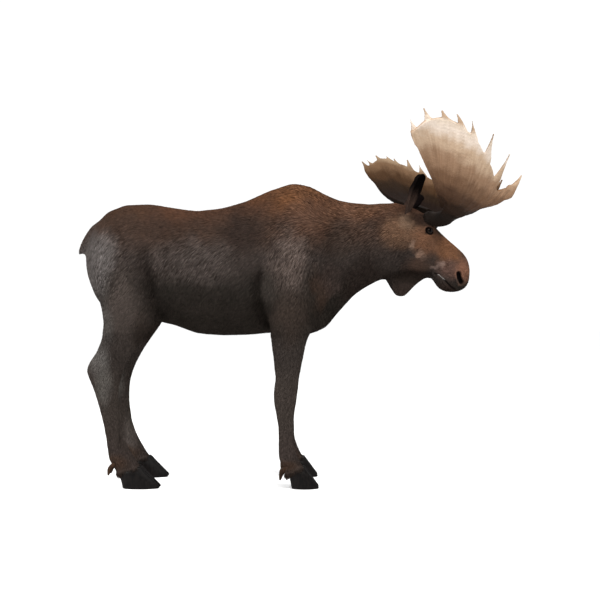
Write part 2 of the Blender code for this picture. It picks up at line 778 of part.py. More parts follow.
def build():
    clear_scene()
    body = fuse(join("body", flesh_lofts()), FUSE_VOXEL, 14, BODY_TRIANGLES)
    for hoof, track in ((FORE_HOOF, FORE_TRACK), (HIND_HOOF, HIND_TRACK)):
        for side in (-1, 1):
            lid = hair_line_lid(hoof, track * side, 0.0, False)
            subtract(body, lid)
            discard(lid)
    seated = []
    for side, side_name in ((-1, "right"), (1, "left")):
        tines = RIGHT_TINES if side < 0 else LEFT_TINES
        tip = RIGHT_EAR_TIP if side < 0 else LEFT_EAR_TIP
        horn = finish(antler(f"antler_{side_name}", tines, side), "antler")
        seated.append(horn)
        seated.append(eye(f"eye_{side_name}", side))
        seated.append(ear(f"ear_{side_name}", tip, side))
        for end, shape, track in (("front", FORE_DEWCLAW, FORE_TRACK),
                                  ("hind", HIND_DEWCLAW, HIND_TRACK)):
            for step, step_name in ((-1, "a"), (1, "b")):
                name = f"dewclaw_{end}_{side_name}_{step_name}"
                seated.append(dewclaw(name, shape, track, side, step))
        for end, hoof, track in (("front", FORE_HOOF, FORE_TRACK), ("hind", HIND_HOOF, HIND_TRACK)):
            for step, step_name in ((-1, "a"), (1, "b")):
                claw(f"hoof_{end}_{side_name}_{step_name}", hoof, track, side, step)
    seated.append(tail())
    for item in seated:
        seat(body, item)
    part_flesh(body)
    for side, side_name in ((-1, "right"), (1, "left")):
        part_antler(bpy.data.objects[f"antler_{side_name}"], side_name, side)
    centre_everything()


def centre_everything():
    """Move the origin to the ground under the middle of the whole animal."""
    points = [corner.co for item in bpy.data.objects for corner in item.data.vertices]
    low = Vector([min(p[axis] for p in points) for axis in range(3)])
    high = Vector([max(p[axis] for p in points) for axis in range(3)])
    shift = Matrix.Translation((-(low.x + high.x) / 2, -(low.y + high.y) / 2, -low.z))
    for item in bpy.data.objects:
        item.data.transform(shift)


build()
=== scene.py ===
"""Looks of a bull moose standing square, life size: skin, coat, antlers, eyes and hooves.

Everything is in metres in the row frame: +X towards the nose, +Y towards the animal's left, +Z up.
Shapes that the solids share are laid out in the animal's own measures and moved to the row frame
by SHIFT; the head's own parts are turned with the head on the neck.
"""

import math

import bmesh
import bpy
import numpy as np
from mathutils import Matrix, Vector
from mathutils.bvhtree import BVHTree
from mathutils.kdtree import KDTree


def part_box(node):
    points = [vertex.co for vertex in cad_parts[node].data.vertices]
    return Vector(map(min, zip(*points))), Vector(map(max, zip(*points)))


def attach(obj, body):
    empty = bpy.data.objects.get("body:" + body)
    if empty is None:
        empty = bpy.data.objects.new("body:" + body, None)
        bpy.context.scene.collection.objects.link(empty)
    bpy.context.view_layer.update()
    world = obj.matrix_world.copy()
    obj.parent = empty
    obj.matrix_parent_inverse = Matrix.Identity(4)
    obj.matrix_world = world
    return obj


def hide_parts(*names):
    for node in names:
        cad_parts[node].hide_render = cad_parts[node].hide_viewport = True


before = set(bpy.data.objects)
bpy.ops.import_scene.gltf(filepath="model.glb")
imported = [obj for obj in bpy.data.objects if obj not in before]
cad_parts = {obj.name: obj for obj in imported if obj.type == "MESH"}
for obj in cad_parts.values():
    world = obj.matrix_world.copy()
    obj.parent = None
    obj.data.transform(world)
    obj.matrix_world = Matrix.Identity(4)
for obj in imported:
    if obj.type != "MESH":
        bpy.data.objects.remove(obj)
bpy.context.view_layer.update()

# ---- the animal's measures, as its solids have them ----
FORE_TRACK = 0.185
HIND_TRACK = 0.178
HEAD_TURN = math.radians(4.5)
NECK_PIVOT = Vector((0.62, 0.0, 1.66))
HEAD_SLOPE = math.radians(36.0)
EYE_RADIUS = 0.028
EYE_PLACE = Vector((0.846, 0.088, 1.676))
BURR = Vector((0.846, 0.060, 1.762))
BEAM = (                   # x, y, z, radius
    (0.868, 0.095, 1.758, 0.044),
    (0.900, 0.142, 1.750, 0.049),
    (0.934, 0.192, 1.758, 0.052),
    (0.963, 0.242, 1.788, 0.047),
)
REAR_RIBS = {
    -1: (
        ((0.908, 0.205, 1.842), (0.826, 0.375, 1.940), (0.720, 0.545, 2.045), (0.592, 0.722, 2.203)),
        ((0.922, 0.215, 1.832), (0.850, 0.425, 1.940), (0.775, 0.612, 2.080), (0.688, 0.764, 2.268)),
    ),
    1: (
        ((0.895, 0.205, 1.832), (0.747, 0.360, 1.908), (0.642, 0.530, 2.015), (0.556, 0.715, 2.222)),
        ((0.922, 0.215, 1.832), (0.832, 0.425, 1.930), (0.752, 0.612, 2.076), (0.690, 0.772, 2.300)),
    ),
}
PALM_RIBS = (
    ((0.938, 0.225, 1.815), (0.890, 0.455, 1.905), (0.850, 0.640, 2.052), (0.814, 0.778, 2.266)),
    ((0.955, 0.235, 1.795), (0.958, 0.440, 1.860), (0.965, 0.598, 1.985), (0.972, 0.712, 2.180)),
    ((0.968, 0.240, 1.778), (1.035, 0.362, 1.820), (1.095, 0.448, 1.905), (1.145, 0.495, 2.032)),
    ((0.976, 0.240, 1.765), (1.072, 0.318, 1.806), (1.152, 0.358, 1.850), (1.224, 0.350, 1.922)),
    ((0.982, 0.238, 1.758), (1.095, 0.296, 1.808), (1.210, 0.316, 1.852), (1.302, 0.286, 1.940)),
    ((0.986, 0.235, 1.752), (1.118, 0.280, 1.812), (1.262, 0.268, 1.850), (1.382, 0.224, 1.930)),
)
PALM_THICK = (0.050, 0.018)        # at the beam and at the margin
TINE_FLAT = 0.72           # a tine's thickness against its width
TINE_THICK = 0.0105        # the most that half its thickness comes to
TINE_SPREAD = 1.3          # a tine flares by this much where it leaves the palm
TINE_TAPER = 2.0
TINE_FOOT = 0.75           # share of its length in the palm over which it stays wide
TINE_HEEL = 0.35           # share of its width where it starts inside the palm
TINE_TIP = 0.0050
TINE_START = 0.80          # how far out over the palm a tine starts
TINE_STEPS = 12
TINE_SIDES = 12
RIGHT_TINES = (            # share of the margin, tip, half width at the base
    (0.03, (0.581, 0.752, 2.272), 0.020),
    (0.15, (0.655, 0.782, 2.330), 0.025),
    (0.27, (0.757, 0.802, 2.313), 0.036),
    (0.37, (0.845, 0.802, 2.296), 0.026),
    (0.43, (0.943, 0.775, 2.266), 0.026),
    (0.52, (1.098, 0.690, 2.207), 0.036),
    (0.65, (1.256, 0.510, 2.119), 0.040),
    (0.96, (1.438, 0.205, 2.036), 0.034),
)
LEFT_TINES = (
    (0.01, (0.530, 0.752, 2.274), 0.020),
    (0.06, (0.570, 0.765, 2.288), 0.018),
    (0.13, (0.643, 0.785, 2.326), 0.024),
    (0.22, (0.722, 0.785, 2.326), 0.024),
    (0.29, (0.783, 0.790, 2.306), 0.022),
    (0.37, (0.890, 0.800, 2.299), 0.026),
    (0.44, (0.975, 0.770, 2.255), 0.026),
    (0.52, (1.085, 0.690, 2.185), 0.032),
    (0.65, (1.245, 0.520, 2.100), 0.036),
    (0.96, (1.440, 0.200, 2.066), 0.032),
)
TINES = {-1: RIGHT_TINES, 1: LEFT_TINES}
EAR_ROOT = Vector((0.700, 0.108, 1.785))
EAR_TIPS = {-1: Vector((0.782, 0.222, 2.036)), 1: Vector((0.865, 0.240, 1.950))}
EAR_WIDTHS = (0.024, 0.036, 0.050, 0.062, 0.052, 0.010)
EAR_WALL = 0.012
EAR_OPENING = Vector((0.72, 0.69, 0.0))
FORE_HOOF = (-0.056, 0.122, 0.082, 0.136)      # heel x, toe x, hair line at the back and front
HIND_HOOF = (-1.148, -0.910, 0.088, 0.142)
HAIR_LINE_BACK = 0.050     # the hair line starts this far behind the heel
HAIR_LINE_FRONT = 0.55     # and ends at this share of the hoof's length
LID_GAP = 0.004            # a claw is trimmed this far over its hair line, by a block
LID_LENGTH = 0.60
LID_WIDTH = 0.17
LID_DEPTH = 0.20
CLAW_WIDTH = 0.060
CLAW_WAIST = 0.16          # a claw draws in by this share at the hair line
CLAW_WAIST_DEPTH = 0.030
CLAW_SPREAD = 0.0335
FORE_DEWCLAW = (-0.118, 0.134, -0.129, 0.057)  # root x, root z, tip x, tip z
HIND_DEWCLAW = (-1.224, 0.162, -1.240, 0.086)

# ---- skin and coat ----
GROW = 0.0015              # the flesh is grown this much so that its pieces run together
SKIN_VOXEL = 0.0145
SKIN_SOFTEN = 10
MERGE = 0.00002
LEGS = ("front_leg", "front_foreleg", "hind_leg", "hind_foreleg")
FLESH = ("trunk", "neck", "head", "bell", "tail") + tuple(
    f"{leg}_{side}" for leg in LEGS for side in ("left", "right"))
SIDES = ((-1, "right"), (1, "left"))
SKIN_TONE = 0.42
PATCH = 0.003              # size of a tuft's patch on the skin's unwrap


# ---- places ----

def turned(point):
    turn = Matrix.Rotation(HEAD_TURN, 3, "Z")
    return turn @ (point - NECK_PIVOT) + NECK_PIVOT


def mirrored(point, side):
    return Vector((point.x, point.y * side, point.z))


def middle_of_box(node):
    low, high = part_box(node)
    return (low + high) / 2


SHIFT = middle_of_box("eye_right") - turned(mirrored(EYE_PLACE, -1))


def on_head(point, side=1):
    """A point of the head's own layout, in the row frame."""
    return turned(mirrored(Vector(point), side)) + SHIFT


def head_places(points):
    """Row frame points in the head's own layout, before it turned."""
    moved = points - np.array(SHIFT + NECK_PIVOT)
    turn = np.array(Matrix.Rotation(-HEAD_TURN, 3, "Z"))
    return moved @ turn.T + np.array(NECK_PIVOT)


def own(places):
    """Row frame points as the animal's x, its y from the middle and its height."""
    return places[:, 0] - SHIFT.x, places[:, 1] - SHIFT.y, places[:, 2]


# ---- finishes ----

def linear(code):
    """A hex colour as linear values."""
    parts = [int(code[i:i + 2], 16) / 255 for i in (0, 2, 4)]
    return tuple(c / 12.92 if c <= 0.04045 else ((c + 0.055) / 1.055) ** 2.4 for c in parts) + (1.0,)


class Finish:
    """A material and short calls that add nodes to it."""

    def __init__(self, name, roughness, specular=0.5):
        self.material = bpy.data.materials.new(name)
        self.material.use_nodes = True
        self.nodes = self.material.node_tree.nodes
        self.links = self.material.node_tree.links
        self.shader = self.nodes["Principled BSDF"]
        self.shader.inputs["Roughness"].default_value = roughness
        self.shader.inputs["Specular IOR Level"].default_value = specular
        self.place = self.nodes.new("ShaderNodeTexCoord").outputs["Object"]
        self.wavy = self.place

    def join(self, source, target):
        self.links.new(source, target)

    def add(self, kind, inputs, **settings):
        """A new node, with its inputs set to values or joined to other nodes."""
        node = self.nodes.new(f"ShaderNode{kind}")
        for name, value in settings.items():
            setattr(node, name, value)
        for key, value in inputs.items():
            if isinstance(value, bpy.types.NodeSocket):
                self.join(value, node.inputs[key])
            else:
                node.inputs[key].default_value = value
        return node

    def attribute(self, name, output="Fac"):
        return self.add("Attribute", {}, attribute_name=name).outputs[output]

    def along(self, axis):
        return self.add("SeparateXYZ", {"Vector": self.place}).outputs[axis]

    def mapped(self, source, scale, location=(0, 0, 0)):
        inputs = {"Vector": source, "Scale": scale, "Location": location}
        return self.add("Mapping", inputs).outputs["Vector"]

    def noise(self, source, scale, detail=3.0, roughness=0.5, output="Fac"):
        inputs = {"Vector": source, "Scale": scale, "Detail": detail, "Roughness": roughness}
        return self.add("TexNoise", inputs).outputs[output]

    def ranged(self, source, low, high, to_low=0.0, to_high=1.0, smooth=True):
        inputs = {"Value": source, "From Min": low, "From Max": high, "To Min": to_low, "To Max": to_high}
        kind = "SMOOTHSTEP" if smooth else "LINEAR"
        return self.add("MapRange", inputs, interpolation_type=kind).outputs["Result"]

    def maths(self, operation, first, second):
        return self.add("Math", {0: first, 1: second}, operation=operation).outputs["Value"]

    def mixed(self, factor, first, second, blend="MIX"):
        inputs = {0: factor, 6: first, 7: second}
        return self.add("Mix", inputs, data_type="RGBA", blend_type=blend).outputs[2]

    def times(self, under, tint):
        """A colour multiplied by a tint."""
        return self.mixed(1.0, under, tint, "MULTIPLY")

    def ramp(self, source, stops):
        node = self.add("ValToRGB", {"Fac": source})
        node.color_ramp.interpolation = "EASE"
        elements = node.color_ramp.elements
        while len(elements) < len(stops):
            elements.new(0.5)
        for element, (position, code) in zip(elements, stops):
            element.position = position
            element.color = linear(code)
        return node.outputs["Color"]

    def waver(self, scale, amount):
        """Shift the ovals' edges about, so that no marking is a clean oval."""
        cloud = self.noise(self.place, scale, output="Color")
        shift = self.mapped(cloud, (amount,) * 3, (-amount / 2,) * 3)
        self.wavy = self.add("VectorMath", {0: self.place, 1: shift}, operation="ADD").outputs["Vector"]

    def patch(self, under, centre, radii, code, strength, edge=0.25):
        """Lay a soft-edged oval of another colour over what is there."""
        scale = [1 / r for r in radii]
        at = [-(c + s) / r for c, s, r in zip(centre, SHIFT, radii)]
        length = self.add("VectorMath", {0: self.mapped(self.wavy, scale, at)}, operation="LENGTH")
        cover = self.ranged(length.outputs["Value"], edge, 1.0, strength, 0.0)
        return self.mixed(cover, under, linear(code))

    def bump(self, height, distance, strength=1.0):
        node = self.add("Bump", {"Height": height, "Distance": distance, "Strength": strength})
        self.join(node.outputs["Normal"], self.shader.inputs["Normal"])

    def colour(self, source):
        self.join(source, self.shader.inputs["Base Color"])


WIDE = 9.0                 # an oval this wide across the body marks both flanks alike
BODY_MARKINGS_SHEEN_AND_SHADE = (          # centre x and z, reach along x and z, colour, strength, reach across if not WIDE
    # back and hump
    (-0.75, 1.98, 0.80, 0.30, "4c3325", 0.75),
    (-0.02, 1.99, 0.42, 0.34, "5a3c27", 0.85),
    (-1.15, 1.86, 0.30, 0.17, "33271f", 0.60),
    # dark rear flank, band behind the shoulder and belly
    (-0.38, 1.66, 0.17, 0.24, "241d1a", 0.75),
    (-0.86, 1.70, 0.26, 0.16, "30241e", 0.55),
    (-0.58, 1.06, 0.60, 0.30, "1c1916", 0.90),
    (-0.20, 1.30, 0.09, 0.17, "3a3531", 0.60),
    (-0.98, 1.22, 0.10, 0.10, "2a2522", 0.60),
    # painted sheen: a cool highlight painted on the rump, the flank and the shoulder
    (-1.33, 1.48, 0.20, 0.32, "54504e", 0.85),
    (-0.66, 1.47, 0.34, 0.20, "3a3431", 0.75),
    (-0.06, 1.47, 0.17, 0.32, "4f4540", 0.80),
    (0.02, 1.74, 0.22, 0.20, "47342a", 0.70),
    # thigh and upper arm
    (-1.14, 1.14, 0.20, 0.34, "403935", 0.80),
    (-0.06, 1.12, 0.17, 0.24, "342c27", 0.80),
    (0.13, 1.27, 0.10, 0.20, "3a2c24", 0.60),
    # neck: brown mane line, darker throat and painted shade in the crease before the shoulder
    (0.42, 1.88, 0.34, 0.20, "583e2e", 0.90),
    (0.23, 1.60, 0.11, 0.16, "2f2620", 0.40),
    (0.44, 1.34, 0.26, 0.24, "1f1916", 0.85),
    (0.20, 1.36, 0.10, 0.14, "403531", 0.50),
)
LIMB_MARKINGS_SHEEN_AND_SHADE = (
    # painted shade along the dark front edge of the shin behind, and the darker inner thigh
    (-1.166, 0.50, 0.020, 0.40, "211c19", 0.70),
    (-1.02, 0.98, 0.09, 0.24, "231d19", 0.70),
    # painted sheen: lighter back of the hock and shin, a painted highlight
    (-1.30, 0.83, 0.10, 0.14, "565350", 0.85),
    (-1.27, 0.67, 0.08, 0.19, "54514d", 0.75),
    (-1.27, 1.06, 0.10, 0.22, "4c4946", 0.60),
    # pale inner side of the hind legs
    (-1.16, 0.32, 0.11, 0.28, "6b645f", 0.90, 0.22),
    # brown hair over the hooves
    (-1.20, 0.17, 0.13, 0.07, "402f23", 0.60),
    (-0.08, 0.15, 0.10, 0.05, "3a2b21", 0.60),
)
HEAD_MARKINGS_AND_SHADE = (
    (0.67, 1.67, 0.19, 0.16, "6e5340", 0.72),
    (0.69, 1.74, 0.07, 0.08, "75604f", 0.70),
    (0.84, 1.61, 0.14, 0.13, "70503c", 0.85),
    (1.00, 1.55, 0.14, 0.14, "80593f", 0.85),
    (0.99, 1.43, 0.11, 0.10, "57423a", 0.80),
    (1.09, 1.42, 0.08, 0.12, "7a5644", 0.85),
    (0.79, 1.45, 0.16, 0.08, "3f3028", 0.80),
    # painted shadow under the jaw, on the top of the bell
    (0.74, 1.37, 0.19, 0.07, "201a16", 0.90),
    (0.70, 1.28, 0.15, 0.10, "332a26", 0.85),
    (0.94, 1.30, 0.13, 0.07, "2b221e", 0.90),
    (1.02, 1.28, 0.07, 0.05, "1e1613", 0.85),
    (0.80, 1.76, 0.12, 0.06, "271c17", 0.85),
    (0.735, 1.585, 0.030, 0.055, "8d7565", 0.60),
    (0.800, 1.515, 0.045, 0.040, "8a7060", 0.55),
    (0.945, 1.455, 0.035, 0.035, "7d6a61", 0.60),
    (0.985, 1.440, 0.022, 0.018, "3a2a22", 0.45),
    (0.900, 1.440, 0.040, 0.025, "7a6860", 0.50),
    (0.855, 1.675, 0.034, 0.034, "1d1512", 0.90),
)

WAVERS = (                 # fineness and size of the wander of the ovals' edges
    (5.0, 0.26, BODY_MARKINGS_SHEEN_AND_SHADE),
    (12.0, 0.03, LIMB_MARKINGS_SHEEN_AND_SHADE),
    (16.0, 0.085, HEAD_MARKINGS_AND_SHADE),
)


def markings_sheen_and_shade(finish):
    """The coat's colours from nose to tail, with painted sheen and painted shade among them, the same on
    skin and hair.
    """
    wander = finish.noise(finish.place, 2.2)
    level = finish.maths("ADD", finish.along("Z"), finish.ranged(wander, 0.2, 0.8, -0.05, 0.05, False))
    up = finish.ranged(level, 0.0, 2.05, 0.0, 1.0, False)
    under = finish.ramp(up, (
        (0.03, "2a221d"), (0.10, "352e2b"), (0.22, "38322e"), (0.45, "312c29"),
        (0.54, "1d1a17"), (0.63, "221f1c"), (0.72, "322c29"), (0.82, "372a23"), (0.92, "442f24")))
    for scale, amount, ovals in WAVERS:
        finish.waver(scale, amount)
        for x, z, reach_x, reach_z, code, strength, *across in ovals:
            radii = (reach_x, across[0] if across else WIDE, reach_z)
            under = finish.patch(under, (x, 0.0, z), radii, code, strength)
    cloud = finish.noise(finish.place, 9.0, 4.0, 0.6)
    return finish.mixed(finish.ranged(cloud, 0.25, 0.75, 0.0, 0.35), under, linear("2a2522"))


# ends of each tuft's tone: darker and lighter hair, which also give the painted shade of the folds and the
# painted highlights of the sheen parts
DARK_HAIR_AND_SHADE = (0.45, 0.43, 0.42, 1.0)
LIGHT_HAIR_AND_HIGHLIGHT = (2.00, 2.00, 2.02, 1.0)
# near black of bare skin; in the mouth line, the nostril pits and the eye opening it is also painted shade
BARE_SKIN_AND_SHADE = "070505"
MOUTH_LINE_PALE = "c9c2bd"


def toned(finish, tone):
    """The markings with their painted sheen and shade, darker or lighter by each tuft's tone, which carries
    painted shade in the folds and painted highlights in the sheen parts.
    """
    under = markings_sheen_and_shade(finish)
    return finish.mixed(tone, finish.times(under, DARK_HAIR_AND_SHADE), finish.times(under, LIGHT_HAIR_AND_HIGHLIGHT))


def coat_finish():
    finish = Finish("coat", 0.8, 0.0)
    finish.colour(toned(finish, finish.ranged(finish.attribute("tone"), 0.0, 1.0, 0.0, 1.0, False)))
    return finish


def skin_finish():
    finish = Finish("skin", 0.8, 0.02)
    colour = toned(finish, finish.attribute("tone"))
    colour = finish.mixed(finish.attribute("dark"), colour, linear(BARE_SKIN_AND_SHADE))
    finish.colour(finish.mixed(finish.attribute("pale"), colour, linear(MOUTH_LINE_PALE)))
    finish.bump(finish.noise(finish.place, 420.0, 2.0), 0.0006, 0.6)
    return finish


ANTLER_OUTER = (
    (0.06, "130e0b"), (0.20, "211711"), (0.32, "3c2b20"), (0.45, "5d4635"), (0.60, "7c634f"),
    (0.75, "a08b76"), (0.87, "b9aca0"), (0.94, "b5a798"), (1.00, "937d68"))
# darker ramp for the antlers' inner faces: painted shade
ANTLER_INNER_SHADE = (
    (0.10, "130d09"), (0.40, "18100c"), (0.55, "21170f"), (0.68, "382719"), (0.82, "5a4533"),
    (0.96, "806d59"))
ANTLER_STREAK = (0.66, 0.60, 0.54, 1.0)
ANTLER_RIM = (0.50, 0.40, 0.31, 1.0)


def antler_finish():
    finish = Finish("antler", 0.6, 0.03)
    reach = finish.attribute("reach")
    grain = finish.attribute("grain", "Vector")
    streak = finish.noise(finish.mapped(grain, (95.0, 5.0, 1.0)), 1.0, 4.0, 0.6)
    rough = finish.noise(finish.place, 14.0, 4.0, 0.6)
    # darker low on the antler and lighter high up: painted shade and light by height
    height = finish.ranged(finish.along("Z"), 1.74, 2.33, 0.0, 0.75, False)
    level = finish.maths("ADD", height, finish.ranged(reach, 0.0, 1.3, 0.0, 0.325, False))
    level = finish.maths("ADD", level, finish.ranged(rough, 0.2, 0.8, -0.05, 0.05, False))
    level = finish.maths("ADD", level, finish.ranged(finish.along("X"), 0.62, 1.20, -0.06, 0.14))
    outer = finish.ramp(level, ANTLER_OUTER)
    inner = finish.ramp(level, ANTLER_INNER_SHADE)
    # inner faces take the darker ramp: painted shade
    base = finish.mixed(finish.attribute("inside"), outer, inner)
    dark = finish.times(base, ANTLER_STREAK)
    faded = finish.maths("MULTIPLY", finish.ranged(streak, 0.36, 0.64, 0.55, 0.0),
                         finish.ranged(level, 0.62, 0.92, 1.0, 0.35))
    colour = finish.mixed(faded, base, dark)
    rings = finish.noise(finish.mapped(grain, (7.0, 34.0, 1.0)), 1.0, 3.0, 0.5)
    colour = finish.mixed(finish.ranged(rings, 0.58, 0.70, 0.0, 0.35), colour, dark)
    finish.colour(finish.mixed(finish.attribute("rim"), colour, finish.times(base, ANTLER_RIM)))
    finish.bump(streak, 0.0022, 0.7)
    return finish


def hoof_finish():
    finish = Finish("hoof", 0.35, 0.06)
    streak = finish.noise(finish.mapped(finish.place, (150.0, 150.0, 18.0)), 1.0)
    finish.colour(finish.mixed(finish.ranged(streak, 0.3, 0.7), linear("060505"), linear("110e0d")))
    rings = finish.noise(finish.mapped(finish.place, (8.0, 8.0, 190.0)), 1.0, 2.0)
    finish.bump(rings, 0.0012, 0.6)
    finish.join(finish.ranged(streak, 0.3, 0.7, 0.34, 0.52), finish.shader.inputs["Roughness"])
    return finish


def dewclaw_finish():
    finish = Finish("dewclaw", 0.6, 0.03)
    grain = finish.noise(finish.mapped(finish.place, (120.0, 120.0, 20.0)), 1.0)
    finish.colour(finish.mixed(finish.ranged(grain, 0.3, 0.7), linear("1a120d"), linear("33241a")))
    finish.bump(grain, 0.0012, 0.6)
    return finish


EYE_RINGS = (              # pupil, iris and rim
    (0.0, "030202"), (0.30, "040303"), (0.38, "150c07"), (0.62, "100906"), (0.80, "060403"))


def eye_finish(side, side_name):
    finish = Finish(f"eye_{side_name}", 0.10, 0.05)
    centre = on_head(EYE_PLACE, side)
    out = turned(Vector((0.25, 0.96 * side, 0.05))) - turned(Vector())
    pupil = centre + out.normalized() * EYE_RADIUS
    reach = finish.add("VectorMath", {0: finish.place, 1: pupil}, operation="DISTANCE")
    far = finish.ranged(reach.outputs["Value"], 0.0, 0.03, 0.0, 1.0, False)
    finish.colour(finish.ramp(far, EYE_RINGS))
    return finish


# ---- meshes ----

def link(item):
    bpy.context.scene.collection.objects.link(item)
    return item


def new_object(name, bm):
    mesh = bpy.data.meshes.new(name)
    bm.to_mesh(mesh)
    bm.free()
    return link(bpy.data.objects.new(name, mesh))


def discard(item):
    mesh = item.data
    bpy.data.objects.remove(item)
    bpy.data.meshes.remove(mesh)


def bake(item):
    graph = bpy.context.evaluated_depsgraph_get()
    result = bpy.data.meshes.new_from_object(item.evaluated_get(graph))
    old = item.data
    item.modifiers.clear()
    item.data = result
    bpy.data.meshes.remove(old)
    return item


def dress(item, finish, nodes=()):
    """Give a piece its finish, hang it on the root body and hide the solids it stands for."""
    item.data.materials.clear()
    item.data.materials.append(finish.material)
    item.data.polygons.foreach_set("use_smooth", [True] * len(item.data.polygons))
    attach(item, "root")
    if nodes:
        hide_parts(*nodes)
    return item


def around(count):
    return [2 * math.pi * i / count for i in range(count)]


def loft(rings):
    bm = bmesh.new()
    before = None
    for ring in rings:
        made = bmesh.ops.create_circle(bm, segments=len(ring), radius=1.0)["verts"]
        for corner, place in zip(made, ring):
            corner.co = place
        edges = list({edge for corner in made for edge in corner.link_edges})
        if before is None:
            bmesh.ops.contextual_create(bm, geom=edges)
        else:
            bmesh.ops.bridge_loops(bm, edges=before + edges)
        before = edges
    bmesh.ops.contextual_create(bm, geom=before)
    outwards(bm)
    return bm


def rework(mesh, change):
    """Open a mesh, change it and close it again."""
    bm = bmesh.new()
    bm.from_mesh(mesh)
    change(bm)
    bm.to_mesh(mesh)
    bm.free()


def outwards(bm):
    bmesh.ops.recalc_face_normals(bm, faces=bm.faces)


def fuse(item, voxel, rounds):
    """Run a piece's overlapping parts into one closed skin, and soften it."""
    remesh = item.modifiers.new("together", "REMESH")
    remesh.mode = "VOXEL"
    remesh.voxel_size = voxel
    soften = item.modifiers.new("soften", "SMOOTH")
    soften.factor = 0.5
    soften.iterations = rounds
    return bake(item)


def add_to(whole, bm):
    """Pour one bmesh into another."""
    spare = bpy.data.meshes.new("spare")
    bm.to_mesh(spare)
    bm.free()
    whole.from_mesh(spare)
    bpy.data.meshes.remove(spare)


def ball(whole, place, radius):
    bmesh.ops.create_icosphere(whole, subdivisions=3, radius=radius, matrix=Matrix.Translation(place))


def corners_of(mesh):
    places = np.empty(len(mesh.vertices) * 3)
    mesh.vertices.foreach_get("co", places)
    return places.reshape(-1, 3)


def normals_of(mesh):
    directions = np.empty(len(mesh.vertices) * 3)
    mesh.vertex_normals.foreach_get("vector", directions)
    return directions.reshape(-1, 3)


def set_corners(mesh, places):
    mesh.vertices.foreach_set("co", places.ravel())
    mesh.update()


def set_values(mesh, name, values):
    found = mesh.attributes.get(name) or mesh.attributes.new(name, "FLOAT", "POINT")
    found.data.foreach_set("value", np.asarray(values, np.float32))


def step(values, low, high):
    t = np.clip((values - low) / (high - low), 0, 1)
    return t * t * (3 - 2 * t)


# ---- skin ----

def dewclaw_roots():
    for (x, z, _, _), track in ((FORE_DEWCLAW, FORE_TRACK), (HIND_DEWCLAW, HIND_TRACK)):
        for side, _ in SIDES:
            for apart in (-1, 1):
                yield Vector((x + 0.034, track * side + apart * 0.024, z)) + SHIFT


CORONET_SIZE = 0.031       # the swelling of skin round the top of each claw
CORONET_SHARES = (0.18, 0.46, 0.70)
CORONET_LIFT = 0.006


def hair_line_ends(hoof):
    """x of the hair line's back end and front end."""
    heel, toe, _, _ = hoof
    return heel - HAIR_LINE_BACK, heel + (toe - heel) * HAIR_LINE_FRONT


def coronets():
    """Middles of the swellings along the hair line, over each claw."""
    places = []
    for side, _ in SIDES:
        for hoof, track in ((FORE_HOOF, FORE_TRACK), (HIND_HOOF, HIND_TRACK)):
            back, front = hair_line_ends(hoof)
            for share in CORONET_SHARES:
                for apart in (-1, 1):
                    x = back + (front - back) * share
                    z = hoof[2] + (hoof[3] - hoof[2]) * share + CORONET_LIFT
                    places.append(Vector((x, track * side + apart * CLAW_SPREAD, z)) + SHIFT)
    return places


HEAD_FILLERS = (           # balls that fill the seats of eye, antler and ear
    ((0.846, 0.086, 1.676), EYE_RADIUS),
    ((0.850, 0.062, 1.755), 0.052),
    (EAR_ROOT, 0.034),
)
DEWCLAW_ROOT_SIZE = 0.020


def flesh_body():
    """The pieces of flesh run together, with their seats filled."""
    whole = bmesh.new()
    for node in FLESH:
        bm = bmesh.new()
        bm.from_mesh(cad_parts[node].data)
        bmesh.ops.remove_doubles(bm, verts=bm.verts, dist=MERGE)
        bm.normal_update()
        for corner, push in [(corner, corner.normal * GROW) for corner in bm.verts]:
            corner.co += push
        add_to(whole, bm)
    for side, _ in SIDES:
        for place, radius in HEAD_FILLERS:
            ball(whole, on_head(place, side), radius)
    for place in dewclaw_roots():
        ball(whole, place, DEWCLAW_ROOT_SIZE)
    for place in coronets():
        ball(whole, place, CORONET_SIZE)
    return fuse(new_object("skin", whole), SKIN_VOXEL, SKIN_SOFTEN)


def finer(bm, wanted):
    """Split the edges of the faces in a part of the head."""
    faces = [face for face in bm.faces if wanted(face.calc_center_median() - SHIFT)]
    edges = list({edge for face in faces for edge in face.edges})
    bmesh.ops.subdivide_edges(bm, edges=edges, cuts=1, use_grid_fill=True, smooth=0.6)
    many = [face for face in bm.faces if len(face.verts) > 4]
    bmesh.ops.triangulate(bm, faces=many)


def refine_head(bm):
    finer(bm, lambda p: p.x > 0.60 and p.z > 1.20)
    finer(bm, lambda p: p.x > 0.80 and p.z > 1.24)


def from_path(sideways, upright, path):
    """Distance in side view from each point to a path, and the share of the path it is nearest."""
    best = np.full(len(sideways), 9.0)
    share = np.zeros(len(sideways))
    pieces = len(path) - 1
    for index in range(pieces):
        (ax, az), (bx, bz) = path[index], path[index + 1]
        along = (bx - ax, bz - az)
        square = along[0] ** 2 + along[1] ** 2
        t = np.clip(((sideways - ax) * along[0] + (upright - az) * along[1]) / square, 0, 1)
        away = np.hypot(sideways - ax - t * along[0], upright - az - t * along[1])
        nearer = away < best
        best = np.where(nearer, away, best)
        share = np.where(nearer, (index + t) / pieces, share)
    return best, share


def ridge(distance, width):
    return np.exp(-(distance / width) ** 2)


